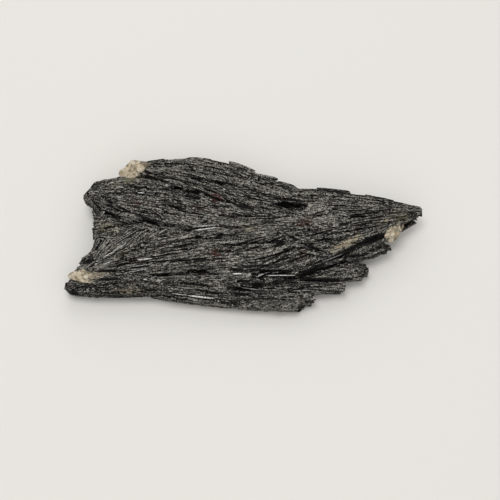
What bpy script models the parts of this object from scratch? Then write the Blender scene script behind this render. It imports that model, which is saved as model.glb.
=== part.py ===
# Black kyanite fan: sheaves of flat blades grown together, with three remnants of pale matrix.
# The layout below is in millimetres, +X to the pointed end, +Z up; the meshes are in metres.
import math
import random

import bmesh
import bpy
from mathutils import Matrix, Vector

MM = 0.001
SEED = 6
CENTRE = (0.55, 1.1)         # middle of the footprint in the layout's coordinates
NEARLY_FLAT = math.radians(3)    # faces that meet at less than this become one
GAP = 0.3                    # space left round each matrix lump in its socket
REST_DEPTH = 3.0             # how far the block that trims the underside reaches down
REST_HALF = 80               # half its width
KYANITE_COLOUR = (0.045, 0.045, 0.042)
MATRIX_COLOUR = (0.56, 0.47, 0.34)
KYANITE_ROUGHNESS = 0.42
MATRIX_ROUGHNESS = 0.75

SPANS = 4                    # lengthwise divisions of a sheaf
TOP_WAVE = 0.15              # how far the top rises or falls from one division to the next
COLUMN_WANDER = 0.22         # how far a ridge strays aside, as a share of its spacing
CREST_SHARE = (0.1, 0.9)     # height of the ridges as a share of the sheaf's own figure
GROOVE_SHARE = (0.1, 0.6)    # depth of the grooves between them
RIM_SHARES = (0.25, 0.5, 0.8)    # heights of the ridges and grooves along a sheaf's sides
RIM_OUT = (0.75, 0.1, 0.55)      # how far each of them stands out past the sheaf's edge
RIM_VARIES = (0.6, 1.2)      # that distance varies by this much from sheaf to sheaf
KEEL = 0.8                   # height of the ridges on the underside
KEEL_SHARE = (0.2, 1.0)      # each ridge has this share of it
ROOMY = 0.7                  # column spacing above which ridges have their full height
FOOT_IN = 1.4                # how far the underside lies inside the top edge
FOOT_IN_SHARE = 0.15         # the same as the most of a narrow sheaf's width
UNDERCUT = 1.2               # the most that a broken end leans in towards the underside
HEADING_STEP = 0.02          # how far along a sheaf its direction is measured

# Each sheaf of blades: start, middle and end of its near and far edges as (x, y, top height),
# the number of blades side by side, the height of their ridges, how far their broken right and
# left ends differ, the height of the middle above a flat sheet, and the underside's height at
# the left and right end (below 0 it rests on the ground and is trimmed flat).
SHEAVES = {
    "base_upper": {
        "near": [(-39.9, -1.1, 8.0), (-7.7, -4.2, 8.2), (30.1, -5.2, 7.6)],
        "far": [(-41.0, 14.2, 7.6), (-11.9, 21.0, 6.4), (28.7, 9.3, 7.0)],
        "blades": 6, "ridge": 0.6, "ragged": (1, 2), "crown": 0.6, "under": (0.2, 0.1)},
    "base_lower": {
        "near": [(-47.2, -16.5, 5.0), (-20.3, -17.2, 5.2), (22.3, -16.3, 4.6)],
        "far": [(-44.4, -6.5, 6.4), (-11.9, 1.8, 8.2), (30.7, -2.9, 7.2)],
        "blades": 6, "ridge": 0.6, "ragged": (1, 2), "crown": 0.6, "under": (0.1, 0.2)},
    "left_lobe": {
        "near": [(-43.3, 10.8, 10.6), (-31.5, 11.7, 10.8), (-18.6, 11.0, 10.5)],
        "far": [(-43.0, 14.8, 8.6), (-34.3, 17.1, 8.4), (-23.1, 15.9, 9.2)],
        "blades": 5, "ridge": 0.6, "ragged": (0.6, 2.5), "crown": 0.3, "under": (3, 5)},
    "upper_fan": {
        "near": [(-44.4, 9.4, 9.6), (-28.7, 3.7, 10.4), (-0.7, 0.1, 9.5)],
        "far": [(-44.5, 13.0, 9.0), (-25.9, 13.9, 9.8), (5.5, 6.2, 10.0)],
        "blades": 8, "ridge": 0.7, "ragged": (0.8, 4), "crown": 0.3, "under": (5, 5)},
    "top_bundle": {
        "near": [(-29.5, 17.4, 10.6), (-14.1, 12.6, 11.2), (2.1, 5.8, 10.6)],
        "far": [(-29.0, 21.4, 8.0), (-13.0, 23.4, 7.4), (2.7, 19.7, 7.4)],
        "blades": 8, "ridge": 0.7, "ragged": (1, 2.5), "crown": 0.3, "under": (3, 4)},
    "top_right": {
        "near": [(-11.9, 7.5, 10.6), (5.5, 4.5, 10.6), (19.5, 2.1, 10.5)],
        "far": [(-8.0, 22.8, 7.0), (5.5, 17.6, 7.6), (16.7, 13.5, 8.0)],
        "blades": 8, "ridge": 0.7, "ragged": (1, 3), "crown": 0.3, "under": (3, 4)},
    "lower_steep": {
        "near": [(-46.6, -15.4, 7.4), (-35.4, -7.3, 8.4), (-21.4, 0.5, 9.3)],
        "far": [(-48.0, -11.9, 6.4), (-43.1, -5.8, 6.2), (-40.5, 1.4, 7.0)],
        "blades": 6, "ridge": 0.45, "ragged": (0.4, 0.8), "crown": 0.3, "under": (2, 3)},
    "lower_fan": {
        "near": [(-47.7, -16.7, 7.0), (-25.9, -12.4, 8.4), (0.7, -10.0, 9.0)],
        "far": [(-46.1, -11.7, 7.4), (-25.9, -2.4, 9.0), (11.9, 2.6, 10.0)],
        "blades": 10, "ridge": 0.7, "ragged": (0.6, 3.5), "crown": 0.3, "under": (2, 5)},
    "middle": {
        "near": [(-13.0, -4.7, 9.5), (0.7, -3.6, 9.8), (13.3, -1.7, 10.2)],
        "far": [(-14.7, 3.7, 9.6), (0.7, 4.2, 9.9), (21.1, 4.6, 10.4)],
        "blades": 4, "ridge": 0.7, "ragged": (3, 3), "crown": 0.3, "under": (5, 5)},
    "mid_right": {
        "near": [(-7.7, -12.5, 8.6), (5.5, -11.2, 9.0), (17.2, -6.3, 9.6)],
        "far": [(-7.7, -7.0, 9.2), (4.3, -3.8, 9.4), (13.9, -2.4, 9.6)],
        "blades": 5, "ridge": 0.8, "ragged": (2, 2), "crown": 0.1, "under": (4, 4)},
    "diagonal": {
        "near": [(7.1, -14.3, 8.4), (22.3, -10.1, 9.2), (39.6, -2.6, 8.6)],
        "far": [(3.8, -9.4, 9.2), (17.5, -4.9, 10.0), (35.1, 0.5, 10.0)],
        "blades": 7, "ridge": 0.8, "ragged": (3, 2), "crown": 0.1, "under": (4, 4.5)},
    "right_plate": {
        "near": [(13.9, -4.9, 10.0), (31.8, -3.3, 10.4), (48.9, 4.9, 8.8)],
        "far": [(13.3, 13.8, 8.2), (30.7, 12.4, 8.6), (50.4, 7.8, 8.5)],
        "blades": 9, "ridge": 0.6, "ragged": (2, 0.8), "crown": 0.7, "under": (3, 4.6)},
    "tip_shelf": {
        "near": [(29.0, -6.4, 7.6), (39.2, -2.0, 7.6), (48.2, 5.3, 7.6)],
        "far": [(29.0, -1.9, 8.4), (39.1, 1.1, 8.6), (48.6, 6.0, 8.4)],
        "blades": 4, "ridge": 0.6, "ragged": (0.5, 1.2), "crown": 0.1, "under": (3.5, 4.6)},
    "step_4": {
        "near": [(20.3, -7.0, 6.8), (30.7, -7.1, 7.2), (39.3, -4.9, 6.8)],
        "far": [(20.3, -1.9, 7.0), (30.7, -2.1, 7.4), (40.7, -2.8, 7.0)],
        "blades": 4, "ridge": 0.6, "ragged": (1, 1.4), "crown": 0.2, "under": (2, 2.6)},
    "step_3": {
        "near": [(-7.7, -14.1, 6.4), (15.5, -13.5, 6.6), (33.2, -12.2, 6.0)],
        "far": [(-7.7, -10.8, 8.0), (15.5, -8.6, 7.2), (34.6, -8.6, 6.4)],
        "blades": 5, "ridge": 0.6, "ragged": (1, 1.8), "crown": 0.2, "under": (2, 1.8)},
    "step_2": {
        "near": [(-10.5, -16.7, 5.6), (9.1, -16.3, 5.6), (27.3, -15.5, 5.0)],
        "far": [(-10.5, -14.0, 7.0), (9.1, -13.8, 6.4), (27.9, -13.9, 5.6)],
        "blades": 4, "ridge": 0.5, "ragged": (1, 1.2), "crown": 0.2, "under": (1, 1.2)},
    "step_1": {
        "near": [(-24.8, -16.9, 5.4), (-4.6, -20.0, 5.0), (15.3, -21.0, 4.6)],
        "far": [(-24.2, -15.2, 6.8), (-3.6, -16.4, 6.6), (19.5, -17.1, 5.8)],
        "blades": 5, "ridge": 0.6, "ragged": (1, 0.8), "crown": 0.2, "under": (0.8, 0.6)},
    "bottom_strip": {
        "near": [(-37.1, -16.6, 6.0), (-21.7, -16.8, 6.0), (-5.7, -19.0, 5.2)],
        "far": [(-37.1, -13.3, 8.2), (-20.3, -13.1, 8.5), (2.1, -12.2, 8.6)],
        "blades": 4, "ridge": 0.6, "ragged": (1, 2), "crown": 0.3, "under": (0.6, 0.6)},
    "corner": {
        "near": [(-49.1, -15.5, 5.6), (-39.9, -16.9, 6.0), (-23.1, -16.2, 6.2)],
        "far": [(-48.0, -13.2, 7.4), (-37.1, -11.8, 8.4), (-21.7, -13.4, 8.5)],
        "blades": 4, "ridge": 0.6, "ragged": (0.5, 1.5), "crown": 0.5, "under": (-0.2, 0.6)},
    "pocket": {
        "near": [(-41.3, -0.8, 7.2), (-32.9, 0.0, 8.2), (-22.5, -2.1, 8.9)],
        "far": [(-42.1, 8.2, 8.2), (-34.9, 7.9, 8.8), (-23.1, 3.3, 9.0)],
        "blades": 4, "ridge": 0.8, "ragged": (0.4, 1), "crown": 0.2, "under": (1.5, 4)},
}

# Single blades lying on the sheaves: how many on each, where they start and how far they run as
# shares of the sheaf's length, their place across it, their width, rise above it and depth below.
LOOSE_BLADES = {
    "left_lobe": 2, "upper_fan": 5, "top_bundle": 4, "top_right": 4, "lower_fan": 5,
    "middle": 1, "mid_right": 1, "diagonal": 3, "right_plate": 4, "step_1": 1, "bottom_strip": 1,
}
BLADE_START = (0.02, 0.70)
BLADE_SHARE = (0.15, 0.45)
BLADE_LAST = 0.98
BLADE_PLACE = (0.06, 0.94)
BLADE_WIDTH = (0.9, 2.0)
BLADE_RISE = (0.6, 1.2)
BLADE_SUNK = 1.5
BLADE_LEAN = 0.3             # how far the crest lies off the middle, as a share of the width
BLADE_DRIFT = 0.04           # how far it strays across the sheaf from one end to the other
BLADE_SHOULDERS = (0.4, 0.5)     # heights of its two shoulders as shares of the rise
BLADE_STATIONS = ((0, 0.45, 0.5), (0.4, 1, 0), (1, 0.6, 0.3))    # share along, width, drop

# Smooth cleavage plates on the upper face: corners as (x, y), then the height of their top.
CLEAVAGE_PLATES = {
    "upper_plate": {
        "corners": [(15.4, 4.6), (17.9, 6.2), (18.8, 7.6), (22.9, 8.0), (25.6, 6.4), (24.0, 5.0),
                    (19.4, 4.4), (17.6, 3.4)],
        "height": 10.75},
    "lower_plate": {
        "corners": [(18.4, 2.6), (22.5, 4.3), (29.6, 4.9), (30.1, 3.2), (31.0, 2.2), (29.8, 0.9),
                    (25.4, 1.0), (24.0, 0.3), (19.6, 1.2)],
        "height": 10.85},
}
PLATE_DEPTH = 3.0            # how far a cleavage plate reaches down into the blades
PLATE_DIP = 0.06             # fall of a plate's top per millimetre towards the near side

# Lumps of matrix mineral: middle, length, width and height, turn about Z in degrees.
LUMPS = {
    "pale_matrix_upper_left": {
        "centre": (-30.2, 19.4, 7.6), "size": (9.4, 5.8, 5.4), "turn": 14, "seed": 3},
    "pale_matrix_right": {
        "centre": (41.8, 1.1, 7.2), "size": (6.0, 6.2, 4.4), "turn": -20, "seed": 5},
    "pale_matrix_lower_left": {
        "centre": (-43.2, -12.5, 7.1), "size": (9.2, 4.0, 2.4), "turn": 8, "seed": 8},
}
LUMP_POINTS = 60
LUMP_SPREAD = (0.74, 1.0)    # distance of those points from the middle, as a share of the radius
GOLDEN_TURN = math.pi * (3 - math.sqrt(5))


def curve_point(ends, t):
    """Point at t on the parabola through the start, middle and end of an edge."""
    start, middle, end = (Vector(point) for point in ends)
    bend = 2 * middle - (start + end) / 2
    return start * (1 - t) ** 2 + bend * 2 * t * (1 - t) + end * t ** 2


def sheet_point(sheaf, t, s):
    """Point of a sheaf's smooth top: t runs along the blades, s from near to far edge."""
    near = curve_point(sheaf["near"], t)
    far = curve_point(sheaf["far"], t)
    point = near.lerp(far, s)
    point.z += sheaf["crown"] * 4 * s * (1 - s)
    return point


def mesh_object(name, points, faces):
    """Object from points in millimetres in the layout's coordinates."""
    mesh = bpy.data.meshes.new(name)
    placed = [((x - CENTRE[0]) * MM, (y - CENTRE[1]) * MM, z * MM) for x, y, z in points]
    mesh.from_pydata(placed, [], faces)
    shape = bpy.data.objects.new(name, mesh)
    bpy.context.collection.objects.link(shape)
    return shape


def sheaf_section(sheaf, t, columns, lift):
    """One cross-section of a sheaf: ridged top, near and far rim, ridged underside."""
    top = []
    foot = []
    lower = sheaf["under"][0] * (1 - t) + sheaf["under"][1] * t
    across = curve_point(sheaf["far"], t) - curve_point(sheaf["near"], t)
    across.z = 0
    width = across.length
    across.normalize()
    foot_in = min(FOOT_IN, FOOT_IN_SHARE * width)
    spacing = width / (len(columns) - 1)
    room = min(1, spacing / ROOMY)
    for number, s in enumerate(columns):
        shift = lift["slide"][number]
        point = sheet_point(sheaf, t, s)
        ahead = sheet_point(sheaf, min(t + HEADING_STEP, 1), s)
        along = ahead - sheet_point(sheaf, max(t - HEADING_STEP, 0), s)
        along.z = 0
        along.normalize()
        end_slide = shift[0] * max(0, 1 - t * SPANS) + shift[1] * max(0, 1 - (1 - t) * SPANS)
        point += along * end_slide * room
        point.z += (lift["top"][number] + lift["wave"].uniform(-TOP_WAVE, TOP_WAVE)) * room
        inset = foot_in * (1 - 2 * s)
        undercut = lift["bevel"][number] * room * {0: -1, 1: 1}.get(t, 0)
        base = point + across * inset + along * undercut
        base.z = lower + lift["foot"][number] * room
        top.append(point)
        foot.append(base)
    near_rim = []
    far_rim = []
    for share, bulge in zip(RIM_SHARES, lift["rim"]):
        outward = across * (bulge + foot_in * share)
        near_rim.append(top[0].lerp(foot[0], share) - outward)
        far_rim.append(top[-1].lerp(foot[-1], share) + outward)
    return near_rim[::-1] + top + far_rim + foot[::-1]


def grow_sheaf(name, sheaf, chance):
    """A closed slab whose top and underside are ridged by the blades lying side by side."""
    count = 2 * sheaf["blades"] + 1
    columns = []
    for number in range(count):
        even = number / (count - 1)
        wander = COLUMN_WANDER / (count - 1) if 0 < number < count - 1 else 0
        columns.append(even + chance.uniform(-wander, wander))
    left, right = sheaf["ragged"]
    rim = [out * chance.uniform(*RIM_VARIES) for out in RIM_OUT]
    lift = {"top": [], "foot": [], "slide": [], "bevel": [], "rim": rim, "wave": chance}
    for number in range(count):
        ridge = chance.uniform(*CREST_SHARE) if number % 2 else -chance.uniform(*GROOVE_SHARE)
        lift["top"].append(sheaf["ridge"] * ridge)
        reach = 1 if number % 2 else -1
        lift["foot"].append(-reach * KEEL * chance.uniform(*KEEL_SHARE))
        lift["slide"].append((-left * reach * chance.uniform(0, 1), right * reach * chance.uniform(0, 1)))
        lift["bevel"].append(-chance.uniform(0, UNDERCUT))
    rims = len(RIM_SHARES)
    ring = 2 * (count + rims)
    points = []
    for station in range(SPANS + 1):
        points.extend(sheaf_section(sheaf, station / SPANS, columns, lift))
    faces = []
    for station in range(SPANS):
        for place in range(ring):
            after = (place + 1) % ring
            here = station * ring
            faces.append((here + place, here + after, here + ring + after, here + ring + place))
    for base in (0, SPANS * ring):
        faces.append((base + ring - 1, *range(base, base + rims + 1)))
        for number in range(count - 1):
            upper = base + rims + number
            under = base + ring - 1 - number
            faces.append((upper, under, under - 1, upper + 1))
        faces.append(tuple(range(base + rims + count - 1, base + 2 * rims + count + 1)))
    return mesh_object(name, points, faces)


def lay_blade(name, sheaf, chance):
    """A single blade lying half sunk in a sheaf: five-sided, narrower and broken off at its ends."""
    start = chance.uniform(*BLADE_START)
    finish = min(BLADE_LAST, start + chance.uniform(*BLADE_SHARE))
    place = chance.uniform(*BLADE_PLACE)
    width = chance.uniform(*BLADE_WIDTH)
    rise = chance.uniform(*BLADE_RISE)
    lean = chance.uniform(-BLADE_LEAN, BLADE_LEAN)
    drift = chance.uniform(-BLADE_DRIFT, BLADE_DRIFT)
    near_up, far_up = (share * rise for share in BLADE_SHOULDERS)
    profile = [(-0.5, -BLADE_SUNK), (-0.5, near_up), (lean, rise), (0.5, far_up), (0.5, -BLADE_SUNK)]
    points = []
    for share, narrow, drop in BLADE_STATIONS:
        t = start + share * (finish - start)
        middle = sheet_point(sheaf, t, place + drift * share)
        across = curve_point(sheaf["far"], t) - curve_point(sheaf["near"], t)
        across.z = 0
        across.normalize()
        for aside, up in profile:
            point = middle + across * (aside * narrow * width)
            point.z += up - drop * rise if up > 0 else up
            points.append(point)
    sides = len(profile)
    faces = []
    for span in range(len(BLADE_STATIONS) - 1):
        for side in range(sides):
            after = (side + 1) % sides
            here = span * sides
            faces.append((here + side, here + after, here + sides + after, here + sides + side))
    faces.append(tuple(range(sides))[::-1])
    faces.append(tuple(range(len(points) - sides, len(points))))
    return mesh_object(name, points, faces)


def lay_plate(name, plate):
    """Flat-topped plate with upright broken sides, sunk into the sheaves round it."""
    corners = plate["corners"]
    middle = sum(y for x, y in corners) / len(corners)
    top = [(x, y, plate["height"] + PLATE_DIP * (y - middle)) for x, y in corners]
    foot = [(x, y, z - PLATE_DEPTH) for x, y, z in top]
    count = len(corners)
    faces = [tuple(range(count)), tuple(range(count, 2 * count))[::-1]]
    for place in range(count):
        after = (place + 1) % count
        faces.append((place, place + count, after + count, after))
    return mesh_object(name, top + foot, faces)


def block_below(name, depth):
    """Box that reaches from the ground down, past the specimen on every side."""
    sides = (-REST_HALF, REST_HALF)
    points = [(x, y, z) for z in (-depth, 0) for y in sides for x in sides]
    faces = [(0, 2, 3, 1), (4, 5, 7, 6), (0, 1, 5, 4), (1, 3, 7, 5), (3, 2, 6, 7), (2, 0, 4, 6)]
    return mesh_object(name, points, faces)


def lump_points(lump):
    """Seeded points near the surface of an ellipsoid, for a rough lump with flat facets."""
    chance = random.Random(lump["seed"])
    points = []
    for number in range(LUMP_POINTS):
        height = 1 - 2 * (number + 0.5) / LUMP_POINTS
        turn = number * GOLDEN_TURN
        flat = math.sqrt(1 - height * height)
        spread = chance.uniform(*LUMP_SPREAD)
        points.append(Vector((flat * math.cos(turn), flat * math.sin(turn), height)) * spread)
    return points


def grow_lump(name, lump, margin):
    """Closed hull round a lump's points, margin millimetres larger all round."""
    centre = Vector(lump["centre"])
    half = [extent / 2 + margin for extent in lump["size"]]
    turned = Matrix.Rotation(math.radians(lump["turn"]), 3, "Z")
    bm = bmesh.new()
    for point in lump_points(lump):
        bm.verts.new(centre + turned @ Vector([part * radius for part, radius in zip(point, half)]))
    hull = bmesh.ops.convex_hull(bm, input=bm.verts)
    bmesh.ops.delete(bm, geom=list(set(hull["geom_interior"] + hull["geom_unused"])), context="VERTS")
    points = [vert.co.copy() for vert in bm.verts]
    bm.verts.index_update()
    faces = [[vert.index for vert in face.verts] for face in bm.faces]
    bm.free()
    return mesh_object(name, points, faces)


def face_outward(shape):
    """Turn a closed shape's faces outward, as flat triangles that a Boolean cuts exactly."""
    bm = bmesh.new()
    bm.from_mesh(shape.data)
    bmesh.ops.recalc_face_normals(bm, faces=bm.faces)
    bmesh.ops.triangulate(bm, faces=bm.faces)
    bm.to_mesh(shape.data)
    bm.free()


def hide(shapes, title):
    """Put construction shapes in a collection of their own that isn't part of the specimen."""
    group = bpy.data.collections.new(title)
    bpy.context.scene.collection.children.link(group)
    for shape in shapes:
        bpy.context.collection.objects.unlink(shape)
        group.objects.link(shape)
        shape.hide_render = True
        shape.display_type = "WIRE"
    return group


def combine(body, group, operation):
    """Boolean of the body with every shape in a collection."""
    step = body.modifiers.new(group.name, "BOOLEAN")
    step.operation = operation
    step.operand_type = "COLLECTION"
    step.collection = group
    step.solver = "EXACT"


def settle(body):
    """Apply the Booleans, merge faces that are nearly flat and keep the largest closed shell."""
    solid = bpy.data.meshes.new_from_object(body.evaluated_get(bpy.context.evaluated_depsgraph_get()))
    body.modifiers.clear()
    bm = bmesh.new()
    bm.from_mesh(solid)
    bmesh.ops.triangulate(bm, faces=bm.faces)
    bmesh.ops.dissolve_limit(bm, angle_limit=NEARLY_FLAT, verts=bm.verts, edges=bm.edges)
    bmesh.ops.triangulate(bm, faces=bm.faces)
    shells = []
    waiting = set(bm.faces)
    while waiting:
        edge_of_search = [waiting.pop()]
        shell = []
        while edge_of_search:
            face = edge_of_search.pop()
            shell.append(face)
            for edge in face.edges:
                for other in edge.link_faces:
                    if other in waiting:
                        waiting.remove(other)
                        edge_of_search.append(other)
        shells.append(shell)
    shells.sort(key=len)
    bmesh.ops.delete(bm, geom=[face for shell in shells[:-1] for face in shell], context="FACES")
    bm.to_mesh(solid)
    bm.free()
    body.data = solid


def paint(shape, title, colour, roughness):
    """Give a piece its own Principled material."""
    finish = bpy.data.materials.new(title)
    finish.use_nodes = True
    shader = finish.node_tree.nodes["Principled BSDF"]
    shader.inputs["Base Color"].default_value = (*colour, 1)
    shader.inputs["Roughness"].default_value = roughness
    shader.inputs["Metallic"].default_value = 0
    shape.data.materials.clear()
    shape.data.materials.append(finish)


def grow_fan(chance):
    """The kyanite: every sheaf and loose blade joined, trimmed flat below, with lump sockets."""
    sheaves = [grow_sheaf(name, sheaf, chance) for name, sheaf in SHEAVES.items()]
    blades = []
    for name, count in LOOSE_BLADES.items():
        blades.extend(lay_blade("blade", SHEAVES[name], chance) for _ in range(count))
    blades.extend(lay_plate(name, plate) for name, plate in CLEAVAGE_PLATES.items())
    body = sheaves[0]
    body.name = "kyanite_fan"
    sockets = [grow_lump("socket", lump, GAP) for lump in LUMPS.values()]
    trims = [block_below("ground_trim", REST_DEPTH)] + sockets
    for shape in sheaves + blades + trims:
        face_outward(shape)
    combine(body, hide(sheaves[1:] + blades, "grown together"), "UNION")
    combine(body, hide(trims, "cut away"), "DIFFERENCE")
    settle(body)
    paint(body, "black kyanite", KYANITE_COLOUR, KYANITE_ROUGHNESS)


def main():
    for old in list(bpy.data.objects):
        bpy.data.objects.remove(old)
    grow_fan(random.Random(SEED))
    for name, lump in LUMPS.items():
        piece = grow_lump(name, lump, 0)
        face_outward(piece)
        paint(piece, "pale matrix", MATRIX_COLOUR, MATRIX_ROUGHNESS)


main()
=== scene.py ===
import bmesh
import bpy
import numpy as np
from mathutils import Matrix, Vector


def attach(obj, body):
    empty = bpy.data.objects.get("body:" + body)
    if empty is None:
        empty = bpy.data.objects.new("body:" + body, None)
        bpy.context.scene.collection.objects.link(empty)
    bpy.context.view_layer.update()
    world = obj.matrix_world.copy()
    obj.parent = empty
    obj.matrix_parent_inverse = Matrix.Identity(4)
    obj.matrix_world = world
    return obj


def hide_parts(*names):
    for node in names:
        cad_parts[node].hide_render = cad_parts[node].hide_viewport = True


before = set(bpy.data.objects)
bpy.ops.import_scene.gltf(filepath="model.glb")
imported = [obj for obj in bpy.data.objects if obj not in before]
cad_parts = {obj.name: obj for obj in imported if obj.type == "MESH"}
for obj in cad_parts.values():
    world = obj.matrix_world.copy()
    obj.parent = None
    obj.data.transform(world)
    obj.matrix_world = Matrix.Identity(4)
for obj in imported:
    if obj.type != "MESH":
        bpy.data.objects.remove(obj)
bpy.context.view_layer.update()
print("frame loaded:", ", ".join(sorted(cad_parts)))

mm = 0.001
layoutMiddle = np.array([0.55, 1.1, 0.0])    # middle of the footprint in the layout
aboveTable = 0.00002                         # no point is nearer the table, in metres
# How much painted shade a place may carry, painted light below 0.
paintedShadeRange = (-0.3, 1)                        # how dark a place may be, below 0 being lighter
sizeStations = np.linspace(0, 1, 21)         # where along a sheaf its width is measured
randomSteps = 4001                           # random numbers that the fibres pick from

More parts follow.
